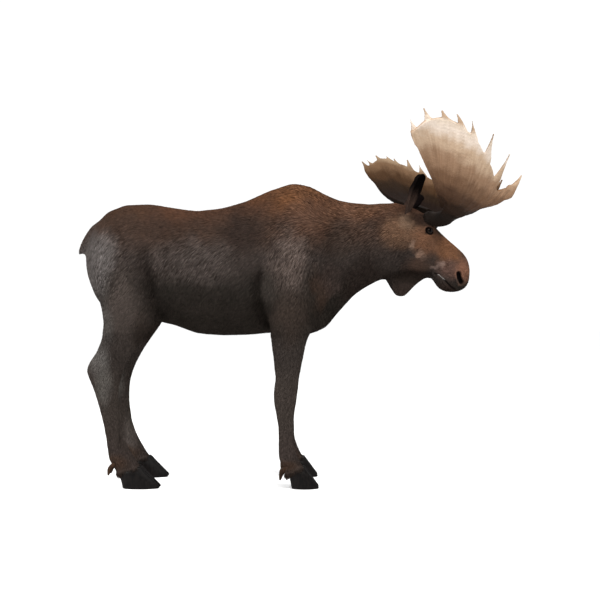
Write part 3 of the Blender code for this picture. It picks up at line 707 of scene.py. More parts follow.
MOUTH = ((0.898, 1.398), (0.928, 1.383), (0.962, 1.352), (0.995, 1.318), (1.040, 1.284))
NOSTRIL = ((1.052, 1.396), (1.058, 1.368), (1.072, 1.342))
JAW_GROOVE = ((0.60, 1.398), (0.70, 1.404), (0.80, 1.402), (0.87, 1.396))
CHEEK_RIDGE = ((0.870, 1.620), (0.905, 1.560), (0.950, 1.500))
FACE_HOLLOW = ((0.930, 1.545), (0.972, 1.478))
ELBOW_CREASE = ((-0.250, 1.400), (-0.258, 1.290), (-0.240, 1.160), (-0.205, 1.020))
ARM_RIDGE = ((0.170, 1.330), (0.115, 1.180), (0.060, 1.030))
THIGH_CREASE = ((-0.985, 1.560), (-0.965, 1.420), (-0.930, 1.200), (-0.895, 1.100))
NECK_CREASE = ((0.210, 1.700), (0.215, 1.560), (0.190, 1.440))
SHOULDER_RIDGE = ((-0.080, 1.900), (0.020, 1.640), (0.110, 1.420))
BODY_FOLDS = (             # path, how far out, width
    (ELBOW_CREASE, -0.015, 0.020),
    (ARM_RIDGE, 0.008, 0.032),
    (THIGH_CREASE, -0.011, 0.026),
    (SHOULDER_RIDGE, 0.006, 0.050),
)
BODY_SHADOWS = (           # path, width, strength
    (ELBOW_CREASE, 0.030, 1.0),
    (THIGH_CREASE, 0.040, 0.9),
    (JAW_GROOVE, 0.022, 1.0),
    (NECK_CREASE, 0.060, 0.5),
)
EYE_OPENING = (0.027, 0.0215)      # half length and half height of the lids' opening
EYE_BUMPS = (              # brow and tear duct: how far out, place and reach along and over the eye
    (0.007, 0.0, 0.034, 0.045, 0.014),
    (-0.004, 0.040, -0.012, 0.016, 0.007),
)
SOCKET_DEPTH = 0.016
LID_SWELL = 0.0045
MOUTH_DEPTH = 0.011
LIP_SWELL = 0.0045
NOSTRIL_DEPTH = 0.020
NOSTRIL_SWELL = 0.006
MUZZLE_MIDDLE = (1.01, 1.44)
MUZZLE_REACH = 0.05
MUZZLE_SWELL = 0.004
POLL_SWELL = 0.020


def sculpt(skin):
    """The face and the folds of the body, pushed in and out of the skin."""
    mesh = skin.data
    places = corners_of(mesh)
    out = normals_of(mesh)
    head = head_places(places)
    x = head[:, 0]
    y = np.abs(head[:, 1])
    z = head[:, 2]
    on_face = step(x, 0.60, 0.68) * step(z, 1.20, 1.26)
    push = np.zeros(len(places))

    mouth, along_mouth = from_path(x, z, MOUTH)
    lips = step(y, 0.030, 0.050) * step(x, 0.84, 0.88)
    push -= MOUTH_DEPTH * ridge(mouth, 0.0055) * lips
    push += LIP_SWELL * ridge(mouth - 0.016, 0.011) * lips

    nostril, _ = from_path(x, z, NOSTRIL)
    nose = step(x, 1.0, 1.03) * step(y, 0.012, 0.026)
    push -= NOSTRIL_DEPTH * (1 - step(nostril, 0.004, 0.022)) * nose
    push += NOSTRIL_SWELL * ridge(nostril - 0.024, 0.009) * nose

    slope = (math.cos(HEAD_SLOPE), -math.sin(HEAD_SLOPE))
    along = (x - EYE_PLACE.x) * slope[0] + (z - EYE_PLACE.z) * slope[1]
    over = -(x - EYE_PLACE.x) * slope[1] + (z - EYE_PLACE.z) * slope[0]
    oval = np.hypot(along / EYE_OPENING[0], over / EYE_OPENING[1])
    beside = step(y, 0.050, 0.065)
    push -= SOCKET_DEPTH * (1 - step(oval, 0.55, 1.0)) * beside
    push += LID_SWELL * ridge(oval - 1.25, 0.24) * beside
    for amount, bump_x, bump_z, reach_x, reach_z in EYE_BUMPS:
        bump = np.hypot((along - bump_x) / reach_x, (over - bump_z) / reach_z)
        push += amount * ridge(bump, 1.0) * beside

    cheeks = step(y, 0.03, 0.06)
    for path, amount, width, where in (
            (JAW_GROOVE, -0.012, 0.016, step(x, 0.60, 0.66) * step(y, 0.02, 0.05)),
            (CHEEK_RIDGE, 0.005, 0.020, on_face),
            (FACE_HOLLOW, -0.007, 0.024, on_face * cheeks)):
        away, _ = from_path(x, z, path)
        push += amount * ridge(away, width) * where
    muzzle = np.hypot(x - MUZZLE_MIDDLE[0], z - MUZZLE_MIDDLE[1])
    push += MUZZLE_SWELL * ridge(muzzle, MUZZLE_REACH) * cheeks

    bx, by, bz = own(places)
    flank = step(np.abs(by), 0.08, 0.14)
    for path, amount, width in BODY_FOLDS:
        away, _ = from_path(bx, bz, path)
        push += amount * ridge(away, width) * flank

    poll = np.sqrt(((x - 0.690) / 0.070) ** 2 + (y / 0.085) ** 2 + ((z - 1.855) / 0.06) ** 2)
    push += POLL_SWELL * ridge(poll, 0.8)

    set_corners(mesh, places + out * push[:, None])
    # near black painted along the mouth line, in the nostril pits, on the lids and in the eye opening: bare
    # skin, and painted shade in the recesses of the mouth line, nostrils and eye opening
    dark = np.maximum.reduce([
        ridge(mouth, 0.0050) * lips,
        (1 - step(nostril, 0.012, 0.024)) * nose,
        ridge(oval - 1.0, 0.20) * beside,
        (1 - step(oval, 0.9, 1.0)) * beside])
    # a pale streak painted along the middle of the mouth line
    pale_stretch = step(along_mouth, 0.10, 0.18) * (1 - step(along_mouth, 0.44, 0.52))
    pale = ridge(mouth, 0.0028) * lips * pale_stretch
    set_values(mesh, "dark", np.clip(dark * (1 - pale), 0, 1))
    set_values(mesh, "pale", np.clip(pale, 0, 1) * 0.85)
    # the skin is darker in the folds: painted shade
    set_values(mesh, "tone", SKIN_TONE - 0.3 * creases(places))


def coat_depth(places):
    """How far the coat stands off the skin at each place."""
    x, _, z = own(places)
    depth = 0.0035 + 0.0035 * step(z, 0.70, 1.10)
    face = step(x, 0.66, 0.80) * step(z, 1.36, 1.44)
    depth = depth * (1 - face) + 0.0025 * face
    return depth * step(z, 0.05, 0.16)


def sink(skin):
    """Draw the skin in under the coat."""
    mesh = skin.data
    places = corners_of(mesh)
    inwards = normals_of(mesh) * (coat_depth(places) + GROW)[:, None]
    set_corners(mesh, places - inwards)


def unwrap(item):
    bpy.ops.object.select_all(action="DESELECT")
    item.select_set(True)
    bpy.context.view_layer.objects.active = item
    while item.data.uv_layers:
        item.data.uv_layers.remove(item.data.uv_layers[0])
    item.data.uv_layers.new(name="OFBake")
    bpy.ops.object.mode_set(mode="EDIT")
    bpy.ops.mesh.select_all(action="SELECT")
    bpy.ops.uv.smart_project(angle_limit=math.radians(66), island_margin=0.002)
    bpy.ops.object.mode_set(mode="OBJECT")


def make_skin():
    skin = flesh_body()
    rework(skin.data, refine_head)
    sink(skin)
    sculpt(skin)
    rework(skin.data, lambda bm: bmesh.ops.triangulate(bm, faces=bm.faces))
    unwrap(skin)
    return skin


# ---- coat ----

SHEEN = (                  # centre x, z and radii of the parts where single hairs catch the light
    (-1.20, 1.50, 0.20, 0.26),
    (-0.70, 1.50, 0.36, 0.20),
    (-0.04, 1.58, 0.20, 0.34),
    (0.08, 1.92, 0.24, 0.12),
    (0.40, 1.74, 0.26, 0.22),
    (0.74, 1.58, 0.14, 0.16),
)


def sheen(places):
    x, _, z = own(places)
    total = np.zeros(len(x))
    for cx, cz, rx, rz in SHEEN:
        total = np.maximum(total, 1 - step(np.hypot((x - cx) / rx, (z - cz) / rz), 0.45, 1.15))
    return total


def creases(places):
    """The folds where the coat lies in shadow."""
    x, y, z = own(places)
    flank = step(np.abs(y), 0.07, 0.13)
    depth = np.zeros(len(x))
    for path, width, strength in BODY_SHADOWS:
        away, _ = from_path(x, z, path)
        depth = np.maximum(depth, strength * ridge(away, width))
    return depth * np.maximum(flank, x > 0.5)


class Hide:
    """The skin as arrays, for sowing the coat on it."""

    def __init__(self, skin):
        mesh = skin.data
        self.places = corners_of(mesh)
        self.out = normals_of(mesh)
        count = len(mesh.polygons)
        self.faces = np.empty(count * 3, np.int64)
        mesh.polygons.foreach_get("vertices", self.faces)
        self.faces = self.faces.reshape(-1, 3)
        flat = np.empty(len(mesh.loops) * 2)
        mesh.uv_layers["OFBake"].data.foreach_get("uv", flat)
        self.unwrapped = flat.reshape(-1, 3, 2)
        a, b, c = (self.places[self.faces[:, i]] for i in range(3))
        self.area = np.linalg.norm(np.cross(b - a, c - a), axis=1) / 2
        self.middle = (a + b + c) / 3
        self.tree = BVHTree.FromPolygons([Vector(p) for p in self.places], self.faces.tolist())
        values = np.empty(len(self.places), np.float32)
        mesh.attributes["dark"].data.foreach_get("value", values)
        self.bare = values[self.faces].max(axis=1)

    def nearest(self, points):
        """The skin's nearest places to some points, and the way out there."""
        found = [self.tree.find_nearest(Vector(p)) for p in points]
        places = np.array([f[0] for f in found])
        faces = self.faces[np.array([f[2] for f in found])]
        out = self.out[faces].mean(axis=1)
        return places, out / np.linalg.norm(out, axis=1)[:, None]


def unit(vectors):
    return vectors / np.maximum(np.linalg.norm(vectors, axis=1), 1e-9)[:, None]


def heading(ahead, aside, up, like):
    """A way for each place, out of numbers or arrays."""
    return np.stack([part + 0 * like for part in (ahead, aside, up)], axis=1)


def turned_over(lie, other, share):
    """Turn the hair from one lie to another, by a share at each place."""
    return lie * (1 - share)[:, None] + other * share[:, None]


def lie_of_coat(places):
    """The way the hair lies at each place."""
    x, y, z = own(places)
    low = 1 - step(z, 1.30, 1.86)
    hump = step(x, -0.05, 0.10) * (1 - step(x, 0.30, 0.45)) * step(z, 1.68, 1.80)
    shoulder = step(x, -0.30, -0.10) * (1 - step(x, 0.15, 0.30)) * low
    rump = 1 - step(x, -1.32, -1.05)
    lie = heading(-1.0, 0.0, -0.25 - 1.15 * low + 1.05 * hump - 1.0 * shoulder - 1.4 * rump, x)
    leg = 1 - step(z, 0.95, 1.18)
    lie = turned_over(unit(lie), heading(-0.12, 0.0, -1.0, x), leg)
    face = step(x, 0.62, 0.74) * step(z, 1.34, 1.42)
    bridge = step(x - (z - 1.60) * -1.3, 0.98, 1.08)
    back = heading(-0.86, np.sign(y) * 0.1 * step(np.abs(y), 0.02, 0.06), 0.60 * bridge - 0.10, x)
    lie = turned_over(unit(lie), unit(back), face)
    bell = step(x, 0.55, 0.60) * (1 - step(z, 1.36, 1.42)) * (1 - step(x, 0.86, 0.92))
    return unit(turned_over(unit(lie), heading(-0.35, 0.0, -1.0, x), bell))


def hair_size(places):
    """The coat is long on the trunk and short on the face, legs and tail."""
    x, _, z = own(places)
    size = 1 - 0.62 * step(x, 0.50, 0.72) * step(z, 1.34, 1.42)
    size = size * (1 - 0.50 * (1 - step(z, 0.95, 1.25)) * (x < 0.5))
    return size * (0.45 + 0.55 * step(x, -1.42, -1.32))


def swirl(places, seed, size):
    """A slow wandering value over the body, between -1 and 1."""
    rng = np.random.default_rng(seed)
    total = np.zeros(len(places))
    for _ in range(5):
        way = rng.normal(size=3) / size
        total += np.sin(places @ way + rng.uniform(0, 2 * math.pi))
    return total / 3


def sow(hide, wanted, count, seed):
    """Roots spread evenly over part of the hide: places, way out and unwrapped places."""
    rng = np.random.default_rng(seed)
    weight = hide.area * wanted(hide.middle) * (1 - step(hide.bare, 0.25, 0.6))
    heap = np.cumsum(weight)
    picks = (np.arange(count) + rng.random(count)) / count * heap[-1]
    faces = np.minimum(np.searchsorted(heap, picks), len(weight) - 1)
    a = np.sqrt(rng.random(count))
    b = rng.random(count)
    share = np.stack([1 - a, a * (1 - b), a * b], axis=1)
    corners = hide.faces[faces]
    places = (hide.places[corners] * share[:, :, None]).sum(axis=1)
    out = unit((hide.out[corners] * share[:, :, None]).sum(axis=1))
    flat = (hide.unwrapped[faces] * share[:, :, None]).sum(axis=1)
    return places, out, flat, rng


LOCK_FACES = np.array((
    (0, 1, 2), (0, 3, 4), (0, 4, 1), (1, 4, 5), (1, 5, 2), (2, 5, 3), (2, 3, 0),
    (3, 6, 4), (4, 6, 5), (5, 6, 3)))
LOCK_PATCH = np.array(((0, 1), (0, 0), (0, 0.5), (0.6, 1), (0.6, 0), (0.6, 0.5), (1, 0.5)))
SPIKE_FACES = np.array(((0, 1, 2), (0, 3, 1), (1, 3, 2), (2, 3, 0)))
SPIKE_PATCH = np.array(((0, 1), (0, 0), (0, 0.5), (1, 0.5)))
ROOT_DEPTH = 0.0012        # a tuft starts this far inside the skin
HANGING_TIP = 0.006        # the hair over the hooves hangs this far off them
TRUNK_HAIR = (0.064, 0.0070, 0.0012, 1.0)      # length, width, thickness, lift
THROAT_HAIR = (0.034, 0.006, 0.0012, 1.0)
FETLOCK_HAIR = (0.030, 0.0055, 0.0010, 0.9)
FACE_HAIR = (0.014, 0.0036, 0.0009, 0.9)
FRONT_LEG_HAIR = (0.026, 0.0050, 0.0010, 0.9)
HIND_LEG_HAIR = (0.028, 0.0052, 0.0010, 0.9)


def coat(name, hide, wanted, count, seed, hair, finish, spikes=True, hanging=False):
    """One piece of the coat: locks or shorter spikes that lie along the body."""
    length, width, thick, lift = hair
    places, out, flat, rng = sow(hide, wanted, count, seed)
    lie = lie_of_coat(places)
    across = unit(np.cross(out, lie))
    stray = rng.normal(0, 0.09, count) + 0.13 * swirl(places, 5, 0.10) + 0.05 * swirl(places, 6, 0.03)
    lie = unit(np.cross(across, out)) * np.cos(stray)[:, None] + across * np.sin(stray)[:, None]
    size = 1.0 if spikes else hair_size(places)
    long = (length * size * rng.uniform(0.75, 1.25, count))[:, None]
    wide = (width * np.sqrt(size) * rng.uniform(0.75, 1.25, count))[:, None] / 2
    depth = coat_depth(places)[:, None] * lift * rng.uniform(0.6, 1.0, count)[:, None]
    across = unit(np.cross(out, lie))
    root = places - out * ROOT_DEPTH
    if hanging:
        tip = places + lie * long + out * HANGING_TIP
    else:
        end, end_out = hide.nearest(places + lie * long)
        tip = end + end_out * depth
    ring = [root + across * wide * 0.8, root - across * wide * 0.8, root + out * (thick + ROOT_DEPTH)]
    if not spikes:
        half, half_out = hide.nearest(places + lie * long * 0.5)
        middle = half + half_out * depth * 0.55
        ring += [middle + across * wide, middle - across * wide, middle + half_out * thick]
    corners = np.stack(ring + [tip], axis=1)
    faces, patch = (SPIKE_FACES, SPIKE_PATCH) if spikes else (LOCK_FACES, LOCK_PATCH)
    per = corners.shape[1]
    # tone varies at random from tuft to tuft; lighter tufts in the sheen parts are painted highlights, and
    # the folds are darker by painted shade
    shine = sheen(places)
    tone = SKIN_TONE + rng.normal(0, 1.0, count) * (0.07 + 0.20 * shine)
    tone += 0.12 * shine * swirl(places, 8, 0.05) - 0.32 * creases(places)
    tone = np.clip(tone, 0, 1)
    mesh = bpy.data.meshes.new(name)
    mesh.vertices.add(count * per)
    mesh.vertices.foreach_set("co", corners.ravel())
    wound = (np.arange(count)[:, None, None] * per + faces[None]).reshape(-1, 3)
    mesh.loops.add(wound.size)
    mesh.loops.foreach_set("vertex_index", wound.ravel())
    mesh.polygons.add(len(wound))
    mesh.polygons.foreach_set("loop_start", np.arange(len(wound)) * 3)
    mesh.update(calc_edges=True)
    layer = mesh.uv_layers.new(name="OFBake")
    spots = flat[:, None, :] + (patch[None] - 0.5) * PATCH
    layer.data.foreach_set("uv", spots.reshape(-1, 2)[wound.ravel()].ravel())
    set_values(mesh, "tone", np.repeat(tone, per))
    item = link(bpy.data.objects.new(name, mesh))
    return dress(item, finish)


NECK_START = 0.235
FLANK_START = -0.70
FACE_START = 0.88


def trunk_part(side, low, high):
    def wanted(places):
        x, y, z = own(places)
        return step(z, 1.00, 1.06) * (y * side > 0) * (x >= low) * (x < high)
    return wanted


def leg_part(low, high):
    def wanted(places):
        x, _, z = own(places)
        return (x > low) * (x <= high) * (z < 1.03) * (z > 0.075)
    return wanted


def neck_part(places):
    x, _, z = own(places)
    front = 0.66 + 0.10 * step(z, 1.5, 1.4)
    return (x >= NECK_START) * (1 - step(x, front - 0.06, front + 0.04)) * (z > 1.0)


def throat_part(places):
    x, _, z = own(places)
    return (x >= 0.66) * (z < 1.40) * (x < FACE_START) * (z > 1.1)


def face_part(places):
    x, _, z = own(places)
    return step(x, 0.58, 0.68) * ((z >= 1.40) + (x >= FACE_START) > 0)


def hair_line_part(places):
    x, _, z = own(places)
    total = np.zeros(len(x))
    for hoof in (FORE_HOOF, HIND_HOOF):
        back, front = hair_line_ends(hoof)
        line = hoof[2] + (hoof[3] - hoof[2]) * (x - back) / (front - back)
        near = (x > back - 0.06) * (x < front + 0.06)
        total = np.maximum(total, near * (z > line - 0.010) * (z < line + 0.022))
    return total


def make_coat(hide, finish):
    seed = 20
    for name, low, high, count in (("hind", -2.0, FLANK_START, 19000),
                                   ("fore", FLANK_START, NECK_START, 19500)):
        for side, side_name in SIDES:
            where = trunk_part(side, low, high)
            coat(f"coat_{name}_{side_name}", hide, where, count, seed, TRUNK_HAIR, finish, False)
            seed += 1
    coat("coat_neck", hide, neck_part, 17000, seed, TRUNK_HAIR, finish, False)
    coat("coat_fetlocks", hide, hair_line_part, 4200, 44, FETLOCK_HAIR, finish, hanging=True)
    coat("coat_throat", hide, throat_part, 9000, 40, THROAT_HAIR, finish, False)
    coat("coat_face", hide, face_part, 22000, 41, FACE_HAIR, finish)
    coat("coat_front_legs", hide, leg_part(-0.6, 9.0), 26000, 42, FRONT_LEG_HAIR, finish)
    coat("coat_hind_legs", hide, leg_part(-9.0, -0.6), 30000, 43, HIND_LEG_HAIR, finish)


# ---- antlers ----

def on_curve(points, share):
    """A place on a smooth curve through some points."""
    last = len(points) - 1
    place = share * last
    k = min(int(place), last - 1)
    t = place - k
    p1 = points[k]
    p2 = points[k + 1]
    p0 = points[k - 1] if k else 2 * p1 - p2
    p3 = points[k + 2] if k + 2 <= last else 2 * p2 - p1
    curve = 2 * p1 + (p2 - p0) * t + (2 * p0 - 5 * p1 + 4 * p2 - p3) * t * t
    return 0.5 * (curve + (3 * p1 - 3 * p2 + p3 - p0) * t ** 3)


def palm_point(share, reach, side):
    """A place on the palm: a share of its fan from the rear rib, and of its reach from the beam."""
    ribs = REAR_RIBS[side] + PALM_RIBS
    across = [on_curve([Vector(p) for p in rib], reach) for rib in ribs]
    return on_curve(across, share)


def path_rings(points, radii, count, across=None, thicks=None):
    """Sections square to a path: round, or of a given half thickness across their width."""
    rings = []
    last = len(points) - 1
    for index, point in enumerate(points):
        ahead = (points[min(index + 1, last)] - points[max(index - 1, 0)]).normalized()
        wide = (across or Vector((0.0, 1.0, 0.0))).copy()
        wide = (wide - ahead * wide.dot(ahead)).normalized()
        thin = ahead.cross(wide)
        radius = radii[index]
        thick = thicks[index] if thicks else radius
        rings.append([point + wide * (radius * math.cos(a)) + thin * (thick * math.sin(a))
                      for a in around(count)])
    return rings


def tube(points, radii, steps, count, across=None, flat=1.0):
    """A smooth tube through some points, with a radius at each."""
    path = [on_curve(points, i / steps) for i in range(steps + 1)]
    last = len(points) - 1
    sizes = [float(np.interp(i / steps * last, range(last + 1), radii)) for i in range(steps + 1)]
    return loft(path_rings(path, sizes, count, across, [size * flat for size in sizes]))


def tine(share, tip, width, side):
    """A tine from inside the palm out to its tip, flared where it leaves the palm."""
    foot = palm_point(share, TINE_START, side)
    edge = palm_point(share, 1.0, side)
    reach = (tip - foot).length
    knee = foot + (edge - foot).normalized() * (reach * 0.6)
    inside = TINE_FOOT * (edge - foot).length / reach
    before, after = max(share - 0.03, 0.0), min(share + 0.03, 1.0)
    margin = palm_point(after, 1.0, side) - palm_point(before, 1.0, side)
    path = []
    radii = []
    for index in range(TINE_STEPS + 1):
        t = index / TINE_STEPS
        path.append(foot * (1 - t) ** 2 + knee * (2 * t * (1 - t)) + tip * t ** 2)
        clear = max(0.0, (t - inside) / (1 - inside))
        foot_width = min(1.0, TINE_HEEL + t / TINE_HEEL)
        radii.append(TINE_TIP + TINE_SPREAD * width * (1 - clear) ** TINE_TAPER * foot_width)
    thicks = [min(radius * TINE_FLAT, TINE_THICK) for radius in radii]
    return loft(path_rings(path, radii, TINE_SIDES, margin, thicks))


PALM_GRID = (90, 40)
ANTLER_VOXEL = 0.0039
ANTLER_SOFTEN = 4
BURR_RADIUS = 0.045
SWELL_RADII = (0.030, 0.052, 0.066, 0.078, 0.030)
SWELL_FLAT = 0.55          # thickness of the swelling against its width
FLUTE_DEPTH = 0.0022
PIT_DEPTH = 0.0006
CROWN_DEPTH = 0.005        # the pearls round the burr
FLUTES = 9.0               # shallow flutes across the palm's fan


def palm_sheet(side):
    """The palm's middle sheet, with each corner's share and reach."""
    bm = bmesh.new()
    bmesh.ops.create_grid(bm, x_segments=PALM_GRID[0], y_segments=PALM_GRID[1], size=1.0)
    reaches = []
    shares = []
    for corner in bm.verts:
        share = (corner.co.x + 1) / 2
        reach = (corner.co.y + 1) / 2
        shares.append(share)
        reaches.append(reach)
        corner.co = palm_point(share, reach, side)
    return bm, shares, reaches


def root_swell(side):
    """The flattened swelling where the beam opens into the palm."""
    points = [Vector(section[:3]) for section in BEAM[1:3]]
    points += [palm_point(0.5, reach, side) for reach in (0.02, 0.12, 0.24)]
    margin = palm_point(0.7, 0.15, side) - palm_point(0.3, 0.15, side)
    return tube(points, SWELL_RADII, 12, 20, margin, SWELL_FLAT)


def thicken(sheet, reaches):
    """Give the palm its thickness, less and less towards its margin."""
    group = sheet.vertex_groups.new(name="thick")
    for index, reach in enumerate(reaches):
        group.add([index], (1.0 - reach) ** 2, "REPLACE")
    thick = sheet.modifiers.new("thickness", "SOLIDIFY")
    thick.thickness = PALM_THICK[0]
    thick.thickness_vertex_group = PALM_THICK[1] / PALM_THICK[0]
    thick.vertex_group = group.name
    thick.offset = 0.0
    return bake(sheet)


def make_antler(side, side_name, finish):
    """Palm, beam and tines run into one antler, with the values its finish reads."""
    bm, shares, reaches = palm_sheet(side)
    known = KDTree(len(bm.verts))
    bm.normal_update()
    faces_out = np.array([corner.normal for corner in bm.verts])
    for index, corner in enumerate(bm.verts):
        known.insert(corner.co, index)
    known.balance()
    sheet = thicken(new_object("sheet", bm), reaches)
    whole = bmesh.new()
    whole.from_mesh(sheet.data)
    discard(sheet)
    outwards(whole)
    points = [BURR] + [Vector(section[:3]) for section in BEAM]
    radii = [BURR_RADIUS] + [section[3] for section in BEAM]
    add_to(whole, tube(points, radii, 16, 24))
    add_to(whole, root_swell(side))
    for share, tip, width in TINES[side]:
        add_to(whole, tine(share, Vector(tip), width, side))
    horn = fuse(new_object(f"antler_{side_name}", whole), ANTLER_VOXEL, ANTLER_SOFTEN)
    mesh = horn.data
    places = corners_of(mesh)
    out = normals_of(mesh)
    found = [known.find(Vector(p))[1] for p in places]
    share = np.array(shares)[found]
    reach = np.array(reaches)[found]
    tips = np.array([Vector(tip) for _, tip, _ in TINES[side]])
    to_tip = np.linalg.norm(places[:, None] - tips[None], axis=2).min(axis=1)
    reach = reach + 0.20 * (1 - step(to_tip, 0.0, 0.11))
    flat = np.abs((out * faces_out[found]).sum(axis=1))
    rim = (1 - step(flat, 0.25, 0.75)) * step(reach, 0.05, 0.2)
    beam = np.linalg.norm(places - np.array(BURR), axis=1)
    reach = np.where(reach < 0.04, -0.12 * (1 - step(beam, 0.05, 0.20)), reach)
    flute = np.cos(share * FLUTES * 2 * math.pi) * step(reach, 0.10, 0.5) * FLUTE_DEPTH
    pits = swirl(places, 3, 0.006) * PIT_DEPTH
    crown = CROWN_DEPTH * ridge(beam - 0.052, 0.012) * (1 + 0.5 * swirl(places, 4, 0.004))
    places = places + out * (flute + pits + crown)[:, None]
    set_values(mesh, "reach", reach)
    set_values(mesh, "rim", rim * 0.8)
    # marks the inner faces, which take the painted shade of the darker ramp
    set_values(mesh, "inside", step(-out[:, 1], -0.15, 0.35))
    grain = mesh.attributes.new("grain", "FLOAT_VECTOR", "POINT")
    along_palm = np.stack([share, reach, share * 0], axis=1).astype(np.float32)
    grain.data.foreach_set("vector", along_palm.ravel())
    set_corners(mesh, np.array([on_head(Vector(p), side) for p in places]))
    rework(mesh, outwards)
    nodes = [f"antler_{part}_{side_name}" for part in ("beam", "brow", "palm")]
    return dress(horn, finish, nodes)


# ---- ears, eyes and hooves ----

EAR_STEPS = 20
EAR_TURNS = 12
EAR_ROUND = 0.8            # the ear is rounded off from this share of its length
EAR_DEPTH = 0.75           # depth of the cup against its half width


def ear_rings(side):
    """Sections of an ear: an outer shell and the hollow inside it."""
    tip = EAR_TIPS[side]
    axis = tip - EAR_ROOT
    along = axis.normalized()
    out = (EAR_OPENING - along * EAR_OPENING.dot(along)).normalized()
    across = along.cross(out)
    rings = []
    for index in range(EAR_STEPS + 1):
        share = index / EAR_STEPS
        width = float(np.interp(share * 5, range(6), EAR_WIDTHS))
        if share > EAR_ROUND:
            rounded = max(0.0, 1 - ((share - EAR_ROUND) / (1 - EAR_ROUND)) ** 2)
            width = EAR_WIDTHS[4] * math.sqrt(rounded) + 0.004
        middle = EAR_ROOT + axis * share
        depth = width * EAR_DEPTH
        hollow = (depth - EAR_WALL) * min(1.0, share * 3.0) - depth * 0.5 * max(0.0, 1 - share * 3.0)
        lip = max(width - EAR_WALL * 0.6, 0.002)
        outer = []
        inner = []
        for turn in range(EAR_TURNS + 1):
            angle = math.pi * (turn / EAR_TURNS - 0.5)
            back = math.cos(angle)
            outer.append(middle + across * (width * math.sin(angle)) - out * (depth * back))
            inner.append(middle + across * (lip * math.sin(angle)) - out * (hollow * back - 0.002))
        rings.append([on_head(p, side) for p in outer + inner[::-1]])
    return rings


def make_ear(side, side_name, finish):
    name = f"ear_{side_name}"
    return dress(new_object(name, loft(ear_rings(side))), finish, [name])


def ear_finish():
    finish = Finish("ear", 0.8, 0.0)
    hair = finish.noise(finish.mapped(finish.place, (160.0, 160.0, 30.0)), 1.0)
    high = finish.ranged(finish.along("Z"), 1.86, 1.97)
    ahead = finish.ranged(finish.along("X"), 0.750 + SHIFT.x, 0.785 + SHIFT.x)
    dark = finish.maths("MAXIMUM", high, ahead)
    colour = finish.mixed(dark, linear("271e1a"), linear(BARE_SKIN_AND_SHADE))
    light = finish.times(colour, (1.6, 1.6, 1.6, 1.0))
    finish.colour(finish.mixed(finish.ranged(hair, 0.35, 0.7), colour, light))
    finish.bump(hair, 0.0015, 0.6)
    return finish


EYE_BULGE = Vector((0.006, 0.0245, 0.001))
BULGE_REACH = 0.018
BULGE_HEIGHT = 0.0012


def make_eye(side, side_name):
    bm = bmesh.new()
    bmesh.ops.create_uvsphere(bm, u_segments=48, v_segments=24, radius=EYE_RADIUS,
                              matrix=Matrix.Translation(on_head(EYE_PLACE, side)))
    bulge = on_head(EYE_PLACE + EYE_BULGE, side)
    for corner in bm.verts:
        near = max(0.0, 1 - (corner.co - bulge).length / BULGE_REACH)
        corner.co += (bulge - on_head(EYE_PLACE, side)).normalized() * BULGE_HEIGHT * near
    name = f"eye_{side_name}"
    return dress(new_object(name, bm), eye_finish(side, side_name), [name])


def hair_line_plane(hoof, middle):
    """Back and front ends of a foot's hair line, and the ways along it and up from it."""
    back, front = (Vector((x, middle, z)) + SHIFT for x, z in zip(hair_line_ends(hoof), hoof[2:]))
    along = (front - back).normalized()
    return back, front, along, Vector((-along.z, 0.0, along.x))


def hair_line_lid(hoof, middle):
    """A block over the hair line, for trimming the claws."""
    back, front, along, over = hair_line_plane(hoof, middle)
    centre = (back + front) / 2 + over * (LID_GAP + LID_DEPTH / 2)
    bm = bmesh.new()
    turn = Matrix((along, Vector((0.0, 1.0, 0.0)), over)).transposed().to_4x4()
    size = Matrix.Diagonal((LID_LENGTH, LID_WIDTH, LID_DEPTH, 1.0))
    bmesh.ops.create_cube(bm, size=1.0, matrix=Matrix.Translation(centre) @ turn @ size)
    return new_object("lid", bm)


CLAW_LEVELS = (            # height, back and front as shares of the hoof, width
    (0.0005, 0.06, 0.975, 0.84), (0.0030, 0.02, 0.992, 0.93), (0.008, 0.005, 1.00, 0.98),
    (0.014, 0.00, 0.995, 1.00), (0.030, -0.015, 0.935, 1.01), (0.050, -0.04, 0.85, 1.02),
    (0.072, -0.075, 0.76, 1.01), (0.095, -0.12, 0.66, 1.00), (0.130, -0.20, 0.55, 0.96),
    (0.165, -0.28, 0.44, 0.92))


CLAW_SIDES = 32
CLAW_POINT = 0.42          # a claw narrows by this share at its toe
TOES_IN = 0.006            # the toes' points lean together
CLAW_CORE = 0.22           # share of the length towards which a claw draws in


def make_claw(name, hoof, track, side, apart, finish):
    """One claw, trimmed to the hair line and drawn in under it."""
    heel, toe, _, _ = hoof
    length = toe - heel
    rings = []
    for z, back, front, width in CLAW_LEVELS:
        middle = heel + length * (back + front) / 2
        reach = length * (front - back) / 2
        ring = []
        for a in around(CLAW_SIDES):
            point = max(0.0, math.cos(a)) ** 2
            y = CLAW_WIDTH / 2 * width * math.sin(a) * (1.0 - CLAW_POINT * point)
            aside = track * side + apart * (CLAW_SPREAD - TOES_IN * point) + y
            ring.append(Vector((middle + reach * math.cos(a), aside, z)) + SHIFT)
        rings.append(ring)
    claw = new_object(name, loft(rings))
    lid = hair_line_lid(hoof, track * side)
    trim = claw.modifiers.new("trim", "BOOLEAN")
    trim.operation = "DIFFERENCE"
    trim.solver = "EXACT"
    trim.object = lid
    bake(claw)
    discard(lid)
    back, _, _, over = hair_line_plane(hoof, 0.0)
    core = Vector((heel + length * CLAW_CORE, track * side + apart * CLAW_SPREAD, 0.0)) + SHIFT
    for corner in claw.data.vertices:
        below = -(corner.co - back).dot(over)
        pull = CLAW_WAIST * max(0.0, 1 - max(below, 0.0) / CLAW_WAIST_DEPTH) ** 1.5
        corner.co.x += (core.x - corner.co.x) * pull
        corner.co.y += (core.y - corner.co.y) * pull
    return dress(claw, finish, [name])


